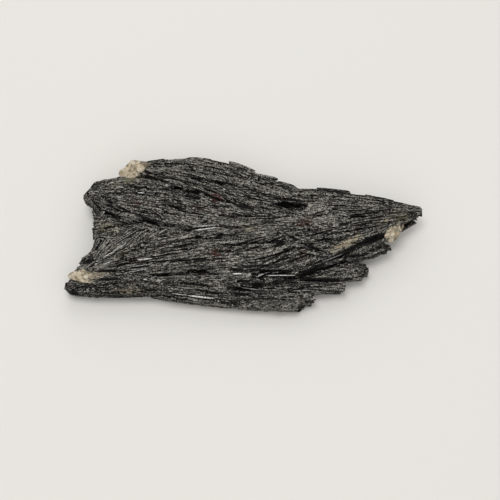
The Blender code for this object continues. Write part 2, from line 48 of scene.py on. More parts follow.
# Each sheaf: start, middle and end of its near and far edges as (x, y, top height);
# "ragged", how far its left and right ends are broken; "crown", how much its middle stands
# above a flat sheet; "under", the height of its underside at the left and right end.
# Some have more. "nose": 1 over the share of the length that rounds off the left end.
# "calm": the share of their unevenness that the lanes of blades keep. "crumbs": how many
# times the usual number of crumbs, from where to where. "laths": broad laths that stand out
# of an edge, as (place round the loop, start, finish, width, height).
sheaves = {
    "base_upper": {
        "near": [(-39.9, -1.1, 8.0), (-7.7, -4.2, 8.2), (30.1, -5.2, 7.6)],
        "far": [(-41.0, 14.2, 7.6), (-11.9, 21.0, 6.4), (28.7, 9.3, 7.0)],
        "ragged": (0.3, 2), "calm": 0.5, "crown": 0.6, "under": (0.2, 0.1)},
    "base_lower": {
        "near": [(-47.2, -16.5, 5.0), (-20.3, -17.2, 5.2), (22.3, -16.3, 4.6)],
        "far": [(-44.4, -6.5, 6.4), (-11.9, 1.8, 8.2), (30.7, -2.9, 7.2)],
        "ragged": (1, 2), "crown": 0.6, "under": (0.1, 0.2)},
    "left_lobe": {
        "near": [(-43.3, 10.8, 10.6), (-31.5, 11.7, 10.8), (-18.6, 11.0, 10.5)],
        "far": [(-43.0, 14.8, 8.6), (-34.3, 17.1, 8.4), (-23.1, 15.9, 9.2)],
        "ragged": (0.6, 2.5), "nose": 9.0, "crumbs": (7, 0, 0.8), "crown": 0.3,
        "under": (3, 5)},
    "upper_fan": {
        "near": [(-44.4, 9.4, 9.6), (-28.7, 3.7, 10.4), (-0.7, 0.1, 9.5)],
        "far": [(-44.5, 13.0, 9.0), (-25.9, 13.9, 9.8), (5.5, 6.2, 10.0)],
        "ragged": (0.8, 4), "nose": 16.0, "crumbs": (3, 0, 0.3), "crown": 0.3,
        "under": (5, 5)},
    "top_bundle": {
        "near": [(-29.5, 17.4, 10.6), (-14.1, 12.6, 11.2), (2.1, 5.8, 10.6)],
        "far": [(-29.0, 21.4, 8.0), (-13.0, 23.4, 7.4), (2.7, 19.7, 7.4)],
        "ragged": (1, 2.5), "laths": [(1.12, 0.42, 0.63, 1.0, 0.6), (1.1, 0.02, 0.2, 0.9, 0.5)],
        "crown": 0.3, "under": (3, 4)},
    "top_right": {
        "near": [(-11.9, 7.5, 10.6), (5.5, 4.5, 10.6), (19.5, 2.1, 10.5)],
        "far": [(-8.0, 22.8, 7.0), (5.5, 17.6, 7.6), (16.7, 13.5, 8.0)],
        "ragged": (1, 3), "laths": [(1.12, 0.12, 0.45, 1.1, 0.5), (1.1, 0.53, 0.76, 0.9, 0.4)],
        "crown": 0.3, "under": (3, 4)},
    "lower_steep": {
        "near": [(-46.6, -15.4, 7.4), (-35.4, -7.3, 8.4), (-21.4, 0.5, 9.3)],
        "far": [(-48.0, -11.9, 6.4), (-43.1, -5.8, 6.2), (-40.5, 1.4, 7.0)],
        "ragged": (0.4, 0.8), "nose": 14.0, "calm": 0.35, "crown": 0.3, "under": (2, 3)},
    "lower_fan": {
        "near": [(-47.7, -16.7, 7.0), (-25.9, -12.4, 8.4), (0.7, -10.0, 9.0)],
        "far": [(-46.1, -11.7, 7.4), (-25.9, -2.4, 9.0), (11.9, 2.6, 10.0)],
        "ragged": (0.6, 3.5), "nose": 20.0, "crown": 0.3, "under": (2, 5)},
    "middle": {
        "near": [(-13.0, -4.7, 9.5), (0.7, -3.6, 9.8), (13.3, -1.7, 10.2)],
        "far": [(-14.7, 3.7, 9.6), (0.7, 4.2, 9.9), (21.1, 4.6, 10.4)],
        "ragged": (3, 3), "crown": 0.3, "under": (5, 5)},
    "mid_right": {
        "near": [(-7.7, -12.5, 8.6), (5.5, -11.2, 9.0), (17.2, -6.3, 9.6)],
        "far": [(-7.7, -7.0, 9.2), (4.3, -3.8, 9.4), (13.9, -2.4, 9.6)],
        "ragged": (2, 2), "crown": 0.1, "under": (4, 4)},
    "diagonal": {
        "near": [(7.1, -14.3, 8.4), (22.3, -10.1, 9.2), (39.6, -2.6, 8.6)],
        "far": [(3.8, -9.4, 9.2), (17.5, -4.9, 10.0), (35.1, 0.5, 10.0)],
        "ragged": (3, 2), "crown": 0.1, "under": (4, 4.5)},
    "right_plate": {
        "near": [(13.9, -4.9, 10.0), (31.8, -3.3, 10.4), (48.9, 4.9, 8.8)],
        "far": [(13.3, 13.8, 8.2), (30.7, 12.4, 8.6), (50.4, 7.8, 8.5)],
        "ragged": (2, 0.8), "laths": [(1.1, 0.25, 0.5, 1.0, 0.6), (1.1, 0.62, 0.76, 0.8, 0.3)],
        "crown": 0.7, "under": (3, 4.6)},
    "tip_shelf": {
        "near": [(29.0, -6.4, 7.6), (39.2, -2.0, 7.6), (48.2, 5.3, 7.6)],
        "far": [(29.0, -1.9, 8.4), (39.1, 1.1, 8.6), (48.6, 6.0, 8.4)],
        "ragged": (0.5, 1.2), "crumbs": (5, 0, 1), "crown": 0.1, "under": (3.5, 4.6)},
    "step_4": {
        "near": [(20.3, -7.0, 6.8), (30.7, -7.1, 7.2), (39.3, -4.9, 6.8)],
        "far": [(20.3, -1.9, 7.0), (30.7, -2.1, 7.4), (40.7, -2.8, 7.0)],
        "ragged": (1, 1.4), "crumbs": (5, 0.4, 1), "crown": 0.2, "under": (2, 2.6)},
    "step_3": {
        "near": [(-7.7, -14.1, 6.4), (15.5, -13.5, 6.6), (33.2, -12.2, 6.0)],
        "far": [(-7.7, -10.8, 8.0), (15.5, -8.6, 7.2), (34.6, -8.6, 6.4)],
        "ragged": (1, 1.8), "crumbs": (5, 0.7, 1), "crown": 0.2, "under": (2, 1.8)},
    "step_2": {
        "near": [(-10.5, -16.7, 5.6), (9.1, -16.3, 5.6), (27.3, -15.5, 5.0)],
        "far": [(-10.5, -14.0, 7.0), (9.1, -13.8, 6.4), (27.9, -13.9, 5.6)],
        "ragged": (1, 1.2), "crown": 0.2, "under": (1, 1.2)},
    "step_1": {
        "near": [(-24.8, -16.9, 5.4), (-4.6, -20.0, 5.0), (15.3, -21.0, 4.6)],
        "far": [(-24.2, -15.2, 6.8), (-3.6, -16.4, 6.6), (19.5, -17.1, 5.8)],
        "ragged": (1, 0.8), "crumbs": (9, 0.6, 1), "crown": 0.2, "under": (0.8, 0.6)},
    "bottom_strip": {
        "near": [(-37.1, -16.6, 6.0), (-21.7, -16.8, 6.0), (-5.7, -19.0, 5.2)],
        "far": [(-37.1, -13.3, 8.2), (-20.3, -13.1, 8.5), (2.1, -12.2, 8.6)],
        "ragged": (1, 2), "nose": 12.0, "crumbs": (3, 0, 0.5), "crown": 0.3,
        "under": (0.6, 0.6)},
    "corner": {
        "near": [(-49.1, -15.5, 5.6), (-39.9, -16.9, 6.0), (-23.1, -16.2, 6.2)],
        "far": [(-48.0, -13.2, 7.4), (-37.1, -11.8, 8.4), (-21.7, -13.4, 8.5)],
        "ragged": (0.5, 1.5), "nose": 9.0, "crumbs": (7, 0, 0.6), "crown": 0.5,
        "under": (-0.2, 0.6)},
    "pocket": {
        "near": [(-41.3, -0.8, 7.2), (-32.9, 0.0, 8.2), (-22.5, -2.1, 8.9)],
        "far": [(-42.1, 8.2, 8.2), (-34.9, 7.9, 8.8), (-23.1, 3.3, 9.0)],
        "ragged": (0.4, 1), "crumbs": (6, 0, 1), "crown": 0.2, "under": (1.5, 4)},
}

# The outer skin that every sheaf is wrapped in: how far its foot lies inside its top, at
# most as a share of its width, how far its sides swell, how near the table it comes, above
# which height it may have hollows, and how small the nose begins.
skinShape = {"footIn": 1.4, "footInMost": 0.15, "bulge": 0.2, "lowest": 0.05, "hollowsAbove": 4,
             "noseLeast": 0.45}


# Parabola through three points: start (1-t)^2 + pull 2t(1-t) + end t^2, the pull being
# twice the middle less half the ends.
def bend(ends, t):
    start, middle, end = (np.array(point, float) for point in ends)
    pull = 2 * middle - (start + end) / 2
    t = np.asarray(t, float)[..., None]
    return start * (1 - t) ** 2 + pull * 2 * t * (1 - t) + end * t ** 2


# Vectors divided by their own length.
def unit(vectors):
    return vectors / np.maximum(np.linalg.norm(vectors, axis=-1, keepdims=True), 1e-9)


# Hollows in the upper face: middle, half lengths, turn in degrees and depth.
hollows = [
    ((13.3, 7.4), (5.6, 1.2), -4, 1.7), ((33.2, 3.8), (2.8, 0.6), 4, 0.9),
    ((3.8, -15.0), (1.7, 0.7), 0, 1.6), ((22.0, 4.3), (3.4, 0.45), 16, 0.7),
    ((-5.5, -6.0), (2.5, 0.7), 6, 0.8), ((-36.5, 6.2), (4.5, 1.0), -28, 1.2),
    ((0.8, 1.2), (4.5, 0.5), 2, 0.7), ((12.0, -5.2), (3.0, 0.6), -35, 0.8),
    ((16.5, -13.2), (11.0, 0.4), 1, 0.8), ((-20.5, 15.9), (5.0, 0.3), -16, 0.3),
    ((-11.0, 12.0), (4.0, 0.3), -28, 0.35), ((-3.5, 8.6), (3.6, 0.3), -24, 0.6),
    ((-33.7, 2.6), (5.5, 0.5), 10, 1.1), ((-27.2, 13.0), (6.0, 0.45), -5, 1.0),
    ((9.0, -11.6), (6.0, 0.3), 4, 0.5), ((1.5, -14.9), (4.5, 0.3), -4, 0.5),
    ((-9.0, -2.2), (7.0, 0.4), -4, 0.8), ((-16.0, 6.0), (6.0, 0.4), -14, 0.8),
    ((-14.0, -8.6), (7.0, 0.4), 6, 0.8), ((31.0, 8.2), (5.0, 0.35), -16, 0.7),
    ((24.6, -9.7), (8.0, 0.6), 31, 1.5), ((35.2, -3.4), (4.5, 0.5), 22, 1.3),
    ((20.0, -4.2), (6.0, 0.4), 16, 0.8), ((-6.0, 14.6), (6.0, 0.4), -12, 0.8),
    ((4.0, 12.6), (5.0, 0.4), -20, 0.8),
]

# Broad patches of painted shade, darker than the rest, or of painted light, lighter, if below 0:
# middle, half size, turn in degrees and how much.
shades = [
    ((32.6, 0.6), (10.0, 4.2), 10, 0.20), ((-37.5, -17.0), (10.0, 2.8), 0, 0.26),
    ((-26.5, -17.5), (5.0, 2.0), 0, 0.12), ((-16.7, 14.0), (4.0, 2.4), -20, -0.12),
    ((13.5, 13.5), (5.5, 2.2), -16, -0.10), ((-35.6, 7.2), (4.0, 2.6), -10, -0.10),
    ((-35.2, -2.0), (3.6, 4.0), 30, -0.09), ((1.8, 0.5), (4.5, 2.6), 6, -0.08),
    ((22.0, -5.5), (8.0, 3.2), 16, 0.10), ((-22.8, -12.0), (5.0, 2.0), 0, -0.12),
    ((11.5, -12.3), (6.5, 2.2), 0, 0.16), ((2.0, -17.8), (13.0, 2.6), -4, 0.10),
    ((39.0, -4.0), (4.0, 3.0), 24, 0.15),
]


# How much the hollows or patches come to at a place: each one's amount times a bell,
# e to the power of less the cube of the scaled distance from its middle.
def bells(marks, place):
    total = np.zeros(place.shape[:-1])
    for middle, half, turn, amount in marks:
        angle = np.radians(turn)
        x = place[..., 0] - middle[0]
        y = place[..., 1] - middle[1]
        along = (x * np.cos(angle) + y * np.sin(angle)) / half[0]
        across = (y * np.cos(angle) - x * np.sin(angle)) / half[1]
        total = total + amount * np.exp(-(along ** 2 + across ** 2) ** 1.5)
    return total


# Draws the loop in towards its own middle near the left end: the share of its size that is
# left follows a quarter circle, the square root of 1 less the squared way to go.
def roundNose(sheaf, point, near, far, t):
    middle = (near + far) / 2
    middle[..., 2] = (middle[..., 2] + sheaf["under"][0]) / 2
    share = np.clip(t * sheaf["nose"], 0, 1)
    full = np.sqrt(np.clip(1 - (1 - share) ** 2, 0, 1))[..., None]
    least = skinShape["noseLeast"]
    return middle + (point - middle) * (least + (1 - least) * full)


# One closed loop round a sheaf for each t: p runs 0-1 across the top, 1-2 down the far side,
# 2-3 back under it and 3-4 up the near side. The point is the top line and the foot line,
# which is drawn in and laid at the underside's height, mixed by the height share h, plus
# a half sine of h outwards on the sides, less the hollows.
def skin(sheaf, p, t):
    p, t = np.broadcast_arrays(np.asarray(p, float) % 4, np.asarray(t, float))
    side = np.floor(p).astype(int)
    part = p - side
    s = np.choose(side, [part, np.ones_like(part), 1 - part, np.zeros_like(part)])
    h = np.choose(side, [np.zeros_like(part), part, np.ones_like(part), 1 - part])
    near = bend(sheaf["near"], t)
    far = bend(sheaf["far"], t)
    across = far - near
    flat = across * (1, 1, 0)
    width = np.linalg.norm(flat, axis=-1)
    inset = np.minimum(skinShape["footIn"] / np.maximum(width, 0.1), skinShape["footInMost"])
    top = near + across * s[..., None]
    top[..., 2] += sheaf["crown"] * 4 * s * (1 - s)
    foot = near + across * (inset + (1 - 2 * inset) * s)[..., None]
    left, right = sheaf["under"]
    foot[..., 2] = np.maximum(left * (1 - t) + right * t, skinShape["lowest"])
    point = top * (1 - h[..., None]) + foot * h[..., None]
    swell = skinShape["bulge"] * np.sin(np.pi * h) * (2 * s - 1)
    point = point + unit(flat) * swell[..., None]
    high = point[..., 2] > skinShape["hollowsAbove"]
    point[..., 2] -= bells(hollows, point) * (1 - h) * high
    if "nose" in sheaf:
        point = roundNose(sheaf, point, near, far, t)
    return point


# The skin's point with its directions along the blades, across them and outwards, from
# points a little further on and a little further round.
def skinFrame(sheaf, p, t, stepP=0.05, stepT=0.01):
    point = skin(sheaf, p, t)
    along = unit(skin(sheaf, p, np.asarray(t) + stepT) - skin(sheaf, p, np.asarray(t) - stepT))
    across = skin(sheaf, np.asarray(p) + stepP, t) - skin(sheaf, np.asarray(p) - stepP, t)
    across = unit(across - along * (across * along).sum(-1, keepdims=True))
    return point, along, across, np.cross(along, across)


# Length of a sheaf's middle line, the widths of its top and its mean side height: sums and
# lengths of the differences between points on its skin.
def sheafSize(sheaf):
    middle = skin(sheaf, 0.5, sizeStations)
    length = np.linalg.norm(np.diff(middle, axis=0), axis=1).sum()
    topEdges = skin(sheaf, 0.999, sizeStations) - skin(sheaf, 0, sizeStations)
    farEdges = skin(sheaf, 1.999, sizeStations) - skin(sheaf, 1, sizeStations)
    height = np.linalg.norm(farEdges, axis=1).mean()
    return length, np.linalg.norm(topEdges, axis=1), height


# Vertices, four-cornered faces and their maps gathered until the piece is made.
class Heap:
    def __init__(self):
        self.points, self.faces, self.flow, self.sheet = [], [], [], []
        self.tone, self.deep, self.gleam = [], [], []
        self.count = 0

    # flow and sheet hold a map place for every corner of every face; tone, deep and gleam one
    # number for every point: its tone, how much painted shade darkens it, or below 0 painted light
    # lightens it, and how much it shines, by gloss and by a painted highlight.
    def add(self, points, faces, flow, sheet, tone, deep, gleam=None):
        self.points.append(points.reshape(-1, 3))
        self.faces.append(faces.reshape(-1, 4) + self.count)
        self.flow.append(flow.reshape(-1, 2))
        self.sheet.append(sheet.reshape(-1, 2))
        self.tone.append(tone.reshape(-1))
        self.deep.append(deep.reshape(-1))
        self.gleam.append(np.zeros(tone.size) if gleam is None else gleam.reshape(-1))
        self.count += points.size // 3

    # The points that lie near the top of the whole fan.
    def showing(self):
        points = np.concatenate(self.points)
        return points[points[:, 2] > cover(points[:, 0], points[:, 1])[0] - coverGrid["nearTop"]]

    # Turns layout millimetres into metres round the origin and writes the mesh, with its two maps:
    # flow for the patterns and OFBake, the sheet, a map of the piece's own.
    def piece(self, name, material, slot, node):
        points = (np.concatenate(self.points) - layoutMiddle) * mm
        points[:, 2] = np.maximum(points[:, 2], aboveTable)
        mesh = bpy.data.meshes.new(name)
        mesh.from_pydata(points, [], np.concatenate(self.faces))
        for title, places in (("flow", self.flow), ("OFBake", self.sheet)):
            layer = mesh.uv_layers.new(name=title)
            layer.uv.foreach_set("vector", np.concatenate(places).ravel())
        for title, values in (("tone", self.tone), ("deep", self.deep), ("gleam", self.gleam)):
            layer = mesh.attributes.new(title, "FLOAT", "POINT")
            layer.data.foreach_set("value", np.concatenate(values).astype(np.float32))
        mesh.materials.append(material)
        made = bpy.data.objects.new(name, mesh)
        bpy.context.scene.collection.objects.link(made)
        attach(made, "root")
        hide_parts(node)
        return made


# Corners of the cells of a grid of rows by columns, in the order that faces +row x +column.
def cells(rows, columns):
    i, j = np.meshgrid(np.arange(rows), np.arange(columns), indexing="ij")
    return np.stack([np.stack([i, i + 1, i + 1, i], -1), np.stack([j, j, j + 1, j + 1], -1)])


# A place in one room of the piece's own map: corner + size times how far along and across it lies.
def sheetPlace(room, along, across):
    (left, low), (wide, high) = room
    return np.stack([left + wide * along, low + high * across], -1)


# The rooms that a sheaf's body, its two broken ends and a crust take: corner and size.
sheetRooms = {"body": ((0.01, 0.01), (0.98, 0.33)),
              "ends": (((0.01, 0.36), (0.48, 0.04)), ((0.504, 0.36), (0.48, 0.04))),
              "crust": ((0.01, 0.99), (0.98, -0.98))}

# The body of a sheaf, in millimetres: its steps, how far fibres and bundles stand out or in, how
# far all lies below the skin, the groove between fibres, how long they run unbroken, how many
# columns lie together, how rough they and the broken ends are. Then how much painted shade it has
# at the skin, for each millimetre below it, in the hollows and on the broken ends.
bodyLook = {"acrossStep": 0.40, "alongStep": 1.3, "sideStep": 0.7, "fine": 0.12, "coarse": 0.18,
            "below": 0.55, "groove": 0.12, "breakEvery": (3.0, 10.0), "fibreColumns": 2,
            "bundleColumns": 6, "rough": 0.03, "endRough": 0.3, "dark": 0.2, "darkBelow": 0.6,
            "darkHollow": 0.15, "darkEnd": 0.3}


# A sheaf's skin with every fibre pushed out or in: offset = coarse step of the bundle + fine
# step of the fibre, each constant between its breaks, less a groove where fibres meet. A step
# is picked from one list of random numbers, at the fibre's number times a prime + the run's
# number times another.
def growBody(heap, sheaf, chance):
    look = bodyLook
    length, width, height = sheafSize(sheaf)
    tops = max(8, int(width.max() / look["acrossStep"]))
    sides = max(6, int(height / look["sideStep"]))
    rows = max(10, int(length / look["alongStep"]))
    loop = 2 * (tops + sides)
    p = np.concatenate([np.arange(tops) / tops, 1 + np.arange(sides) / sides,
                        2 + np.arange(tops) / tops, 3 + np.arange(sides) / sides])
    fibre = np.cumsum(chance.random(loop) < 1 / look["fibreColumns"])
    bundle = np.cumsum(chance.random(loop) < 1 / look["bundleColumns"])
    left, right = sheaf["ragged"]
    start = chance.uniform(-1, 1, loop)[fibre % loop] * left / length
    finish = 1 + chance.uniform(-1, 1, loop)[fibre % loop] * right / length
    u = np.linspace(0, 1, rows + 1)[:, None]
    t = start * (1 - u) + finish * u
    point, along, _, out = skinFrame(sheaf, p[None, :], t)
    place = t * length
    breaks = chance.uniform(*look["breakEvery"], (2, loop))
    shortRun = np.floor(place / breaks[0][fibre] + chance.random(loop)[fibre] * 9).astype(int)
    longRun = place / breaks[1][bundle] / 2 + chance.random(loop)[bundle] * 9
    longRun = np.floor(longRun).astype(int)
    steps = chance.uniform(-1, 1, (2, randomSteps))
    fineStep = steps[0][(fibre * 37 + shortRun * 11) % randomSteps]
    coarseStep = steps[1][(bundle * 53 + longRun * 17) % randomSteps]
    meeting = (np.roll(fibre, 1) != fibre).astype(float)
    offset = look["fine"] * fineStep + look["coarse"] * coarseStep - look["groove"] * meeting
    offset -= look["coarse"] + look["fine"] + look["below"]
    offset += chance.normal(0, look["rough"], offset.shape)
    point = point + out * offset[..., None]
    # Painted shade: darker the further below the skin a point lies and in the hollows, with the
    # broad patches of painted shade and light.
    deep = look["dark"] - look["darkBelow"] * offset
    deep = deep + look["darkHollow"] * bells(hollows, point) + bells(shades, point)
    tone = steps[0][(fibre * 41 + shortRun * 7) % randomSteps] * 0.5 + 0.5
    i, j = cells(rows, loop)
    around = np.linalg.norm(np.diff(skin(sheaf, p, 0.6), axis=0), axis=1)
    around = np.concatenate([[0], around])
    around = np.append(np.cumsum(around), around.sum() + 0.2)
    flow = np.stack([place[i, j % loop], around[j]], -1)
    sheet = sheetPlace(sheetRooms["body"], i / rows, j / loop)
    first = heap.count
    heap.add(point, i * loop + j % loop, flow, sheet, tone, np.clip(deep, *paintedShadeRange))
    push = chance.uniform(-look["endRough"], look["endRough"], (2, tops - 1, sides - 1, 1))
    tones = chance.random((2, tops - 1, sides - 1))
    for end, row in enumerate((0, rows)):
        closeEnd(heap, point[row], along[row], first + row * loop, push[end], tones[end], end)


# A sheet over a broken end of the body, straight from the top edge down to the foot edge:
# point = upper x (1 - share) + lower x share + a random push along the blades.
def closeEnd(heap, ring, along, first, push, tone, end):
    tops, sides = tone.shape[0] + 1, tone.shape[1] + 1
    shares = np.arange(1, sides) / sides
    upper = ring[1:tops]
    lower = ring[2 * tops + sides - np.arange(1, tops)]
    inner = upper[:, None] * (1 - shares)[:, None] + lower[:, None] * shares[:, None]
    inner = inner + along[1:tops][:, None] * push
    index = np.zeros((tops + 1, sides + 1), int)
    index[:, 0] = first + np.arange(tops + 1)
    index[tops, :] = first + tops + np.arange(sides + 1)
    index[:, sides] = first + 2 * tops + sides - np.arange(tops + 1)
    index[0, :] = first + (2 * (tops + sides) - np.arange(sides + 1)) % len(ring)
    index[1:tops, 1:sides] = heap.count + np.arange(tone.size).reshape(tone.shape)
    i, j = cells(tops, sides)
    faces = index[i, j] - heap.count
    faces = faces[..., ::-1] if end else faces
    flow = np.stack([j * 0.5, i * 0.3], -1)
    sheet = sheetPlace(sheetRooms["ends"][end], i / tops, j / sides)
    # The broken end carries an even painted shade.
    heap.add(inner, faces, flow, sheet, tone, np.full(tone.size, bodyLook["darkEnd"]))


# The grid that the highest and lowest skin are kept on and the samples along and across each
# sheaf. A point is near the top, and a blade is seen from above, down to so far below the
# highest skin; a blade is seen from below up to so far above the lowest.
coverGrid = {"corner": (-52.0, -26.0), "cell": 0.5, "squares": (210, 106), "samples": (240, 120),
             "nearTop": 1.5, "seenAbove": 1.3, "seenBelow": 0.9}


# Highest and lowest skin over the whole layout, so that blades buried inside other sheaves
# aren't made: every square keeps the highest top and the lowest foot sampled in it.
def coverMaps():
    high = np.full(coverGrid["squares"], -1.0)
    low = np.full(coverGrid["squares"], 99.0)
    lowX, lowY = coverGrid["corner"]
    cell = coverGrid["cell"]
    lengthwise, crosswise = coverGrid["samples"]
    t = np.linspace(0, 1, lengthwise)[:, None]

    def square(x, y):
        return ((x - lowX) / cell).astype(int), ((y - lowY) / cell).astype(int)

    for sheaf in sheaves.values():
        top = skin(sheaf, np.linspace(0, 0.999, crosswise)[None, :], t).reshape(-1, 3)
        foot = skin(sheaf, np.linspace(2, 2.999, crosswise)[None, :], t).reshape(-1, 3)
        np.maximum.at(high, square(top[:, 0], top[:, 1]), top[:, 2])
        np.minimum.at(low, square(foot[:, 0], foot[:, 1]), foot[:, 2])
    return lambda x, y: (high[square(x, y)], low[square(x, y)])


cover = coverMaps()
print("highest and lowest skin found")

# Blades side by side in lanes round every sheaf. Millimetres: how wide a lane is, the dark gap
# between two, how far lanes and single blades lie above or below each other, how long a blade
# runs before it is broken off, by how much the next one overlaps it and the shortest made.
# Then the most blades in a lane, what share of them is lost and how deep, their lean in
# degrees, how far they stray across, their stations, what share of them gleams and which
# rows of the piece's own map they take.
laneLook = {"lane": (0.52, 1.25), "gap": (0.03, 0.48), "lanes": 0.30, "blades": 0.14,
            "length": (6, 24), "overlap": (-0.5, 1.2), "shortest": 0.8, "most": 24,
            "lost": 0.08, "lostDepth": 0.45, "lean": 10, "stray": 0.14,
            "stations": 8, "gleams": 0.0, "sheet": (0.42, 0.26)}
# Thinner blades lying on them: how many to the square millimetre, width, how high and length,
# the rest as for the lanes.
looseLook = {
    "splinters": {"perArea": 0.07, "width": (0.35, 0.85), "rise": (0.06, 0.34), "length": (3, 11),
                  "lean": 18, "stray": 0.4, "stations": 6, "gleams": 0.0, "sheet": (0.68, 0.12)},
    "needles": {"perArea": 0.16, "width": (0.20, 0.40), "rise": (0.05, 0.38), "length": (1.0, 4.5),
                "lean": 26, "stray": 0.25, "stations": 4, "gleams": 0.03, "sheet": (0.80, 0.10)},
    "crumbs": {"perArea": 0.14, "width": (0.30, 0.75), "rise": (0.06, 0.34), "length": (0.7, 1.9),
               "lean": 28, "stray": 0.3, "stations": 3, "gleams": 0.0, "sheet": (0.90, 0.08)},
}
looseEnds = (-0.2, 0.9)    # how far past an end they may run, as a share of its raggedness
looseShortest = 0.4        # the shortest made
# Broad laths that stand out of an edge, where the sheaf gives them.
lathLook = {"lean": 6, "stations": 8, "gleams": 0.0, "sheet": (0.985, 0.012)}
# Every blade, in millimetres: its narrowest width, its thickness as a share of the width and the
# width up to which that counts, how rough it is, how deep its foot and its bed are sunk, how
# narrow its ends may be, how far and how often they dip, how slanting and how chipped they are
# broken. Then how much painted shade the hollows and its own depth give it, how much painted shade
# its shoulders have and its walls where they stand clear of the highest skin: from which height
# above it, and over how many millimetres downwards the painted shade deepens.
bladeLook = {"narrowest": 0.16, "thick": 0.32, "thickUpTo": 0.8, "rough": 0.045, "sunk": 1.5,
             "bed": 0.22, "ends": (0.55, 0.5), "dip": 0.4, "dipOften": (0.5, 0.25),
             "slope": 0.8, "chip": 0.22, "darkHollow": 0.1, "darkLow": 0.15, "shoulder": 0.5,
             "clearWall": 0.2, "clearFrom": 0.1, "clearOver": 0.4}
# A blade's outline across it, as shares of its width and thickness: foot -1, top 1.
laneSection = np.array([(-0.5, -1), (-0.5, 0.2), (-0.36, 0.85), (-0.02, 1.0), (0.12, 0.72),
                        (0.4, 1.0), (0.5, 0.15), (0.5, -1)])
looseSection = np.array([(-0.5, -1), (-0.5, 0.4), (-0.3, 1.0), (0.34, 0.95), (0.5, 0.3),
                         (0.5, -1)])


# Whether a place on a sheaf shows from above or from below: its height against the highest
# and the lowest skin there.
def shows(sheaf, p, t):
    here = skin(sheaf, p, np.clip(t, 0, 1))
    high, low = cover(here[:, 0], here[:, 1])
    above = here[:, 2] > high - coverGrid["seenAbove"]
    return above | (here[:, 2] < low + coverGrid["seenBelow"])


# Turn about Z by an angle in degrees.
def turnMatrix(degrees):
    angle = np.radians(degrees)
    return np.array([[np.cos(angle), -np.sin(angle), 0], [np.sin(angle), np.cos(angle), 0],
                     [0, 0, 1]])


# Blades cut short where they would run into a pale remnant: of a few places along each, those
# inside a remnant's ellipsoid are found, and the longer free stretch is kept.
def clearOfCrusts(sheaf, p, start, finish):
    shares = np.linspace(0.02, 0.98, 13)
    last = len(shares) - 1
    hit = np.zeros((len(shares),) + p.shape, bool)
    for crust in crusts.values():
        half = np.array(crust["size"]) / 2
        for row, share in enumerate(shares):
            place = skin(sheaf, p, start + (finish - start) * share) - crust["middle"]
            inside = np.linalg.norm((place @ turnMatrix(crust["turn"])) / half, axis=-1)
            hit[row] |= inside < crust["clear"]
    struck = hit.any(0)
    before = hit.argmax(0)
    after = hit[::-1].argmax(0)
    span = finish - start
    ahead = start + span * shares[np.clip(before - 1, 0, last)]
    behind = start + span * shares[np.clip(last + 1 - after, 0, last)]
    cutFinish = np.where(struck & (before >= after), ahead, finish)
    cutStart = np.where(struck & (before < after), behind, start)
    return cutStart, cutFinish, ~struck | (np.maximum(before, after) > 2)


# Lanes: each side of the loop is cut at the running total of random widths. Blades: each lane
# is cut again along its length, at the running total of random lengths.
def chooseLanes(sheaf, chance):
    look = laneLook
    length, width, height = sheafSize(sheaf)
    wide = 0.5 * width.max() + 0.5 * width.mean()
    low, high = [], []
    for side, run in enumerate((wide, height, wide, height)):
        count = max(2, int(round(run / np.mean(look["lane"]))))
        cuts = np.cumsum(np.concatenate([[0], chance.uniform(*look["lane"], count)]))
        low.append(side + cuts[:-1] / cuts[-1])
        high.append(side + cuts[1:] / cuts[-1])
    low, high = np.concatenate(low)[:, None], np.concatenate(high)[:, None]
    lanes = len(low)
    left, right = sheaf["ragged"]
    first = -chance.uniform(-1, 1, lanes) * left / length
    last = 1 + chance.uniform(-1, 1, lanes) * right / length
    runs = chance.uniform(*look["length"], (lanes, look["most"])) / length
    finish = first[:, None] + np.cumsum(runs, axis=1) - runs[:, :1] * chance.random((lanes, 1))
    start = finish - runs - chance.uniform(*look["overlap"], runs.shape) / length
    start = np.maximum(start, first[:, None])
    finish = np.minimum(finish, last[:, None])
    level = chance.uniform(-1, 1, lanes)[:, None] * look["lanes"]
    level = level + chance.uniform(-1, 1, runs.shape) * look["blades"]
    level = level - look["lostDepth"] * (chance.random(runs.shape) < look["lost"])
    level = sheaf.get("calm", 1) * level
    keep = finish - start > look["shortest"] / length
    middle = np.broadcast_to((low + high) / 2, runs.shape)
    seen = np.zeros(keep.shape, bool)
    for share in (0.1, 0.35, 0.65, 0.9):
        t = start + (finish - start) * share
        seen |= shows(sheaf, middle.ravel(), t.ravel()).reshape(keep.shape)
    start, finish, free = clearOfCrusts(sheaf, middle, start, finish)
    keep &= seen & free
    number = keep.sum()
    gap = look["gap"][0] + np.ptp(look["gap"]) * chance.random(number) ** 3
    return {"p": middle[keep], "start": start[keep], "finish": finish[keep],
            "share": np.broadcast_to(high - low, runs.shape)[keep], "wide": np.zeros(number),
            "gap": gap, "level": level[keep], "lean": chance.normal(0, look["lean"], number),
            "stray": chance.normal(0, look["stray"], number)}


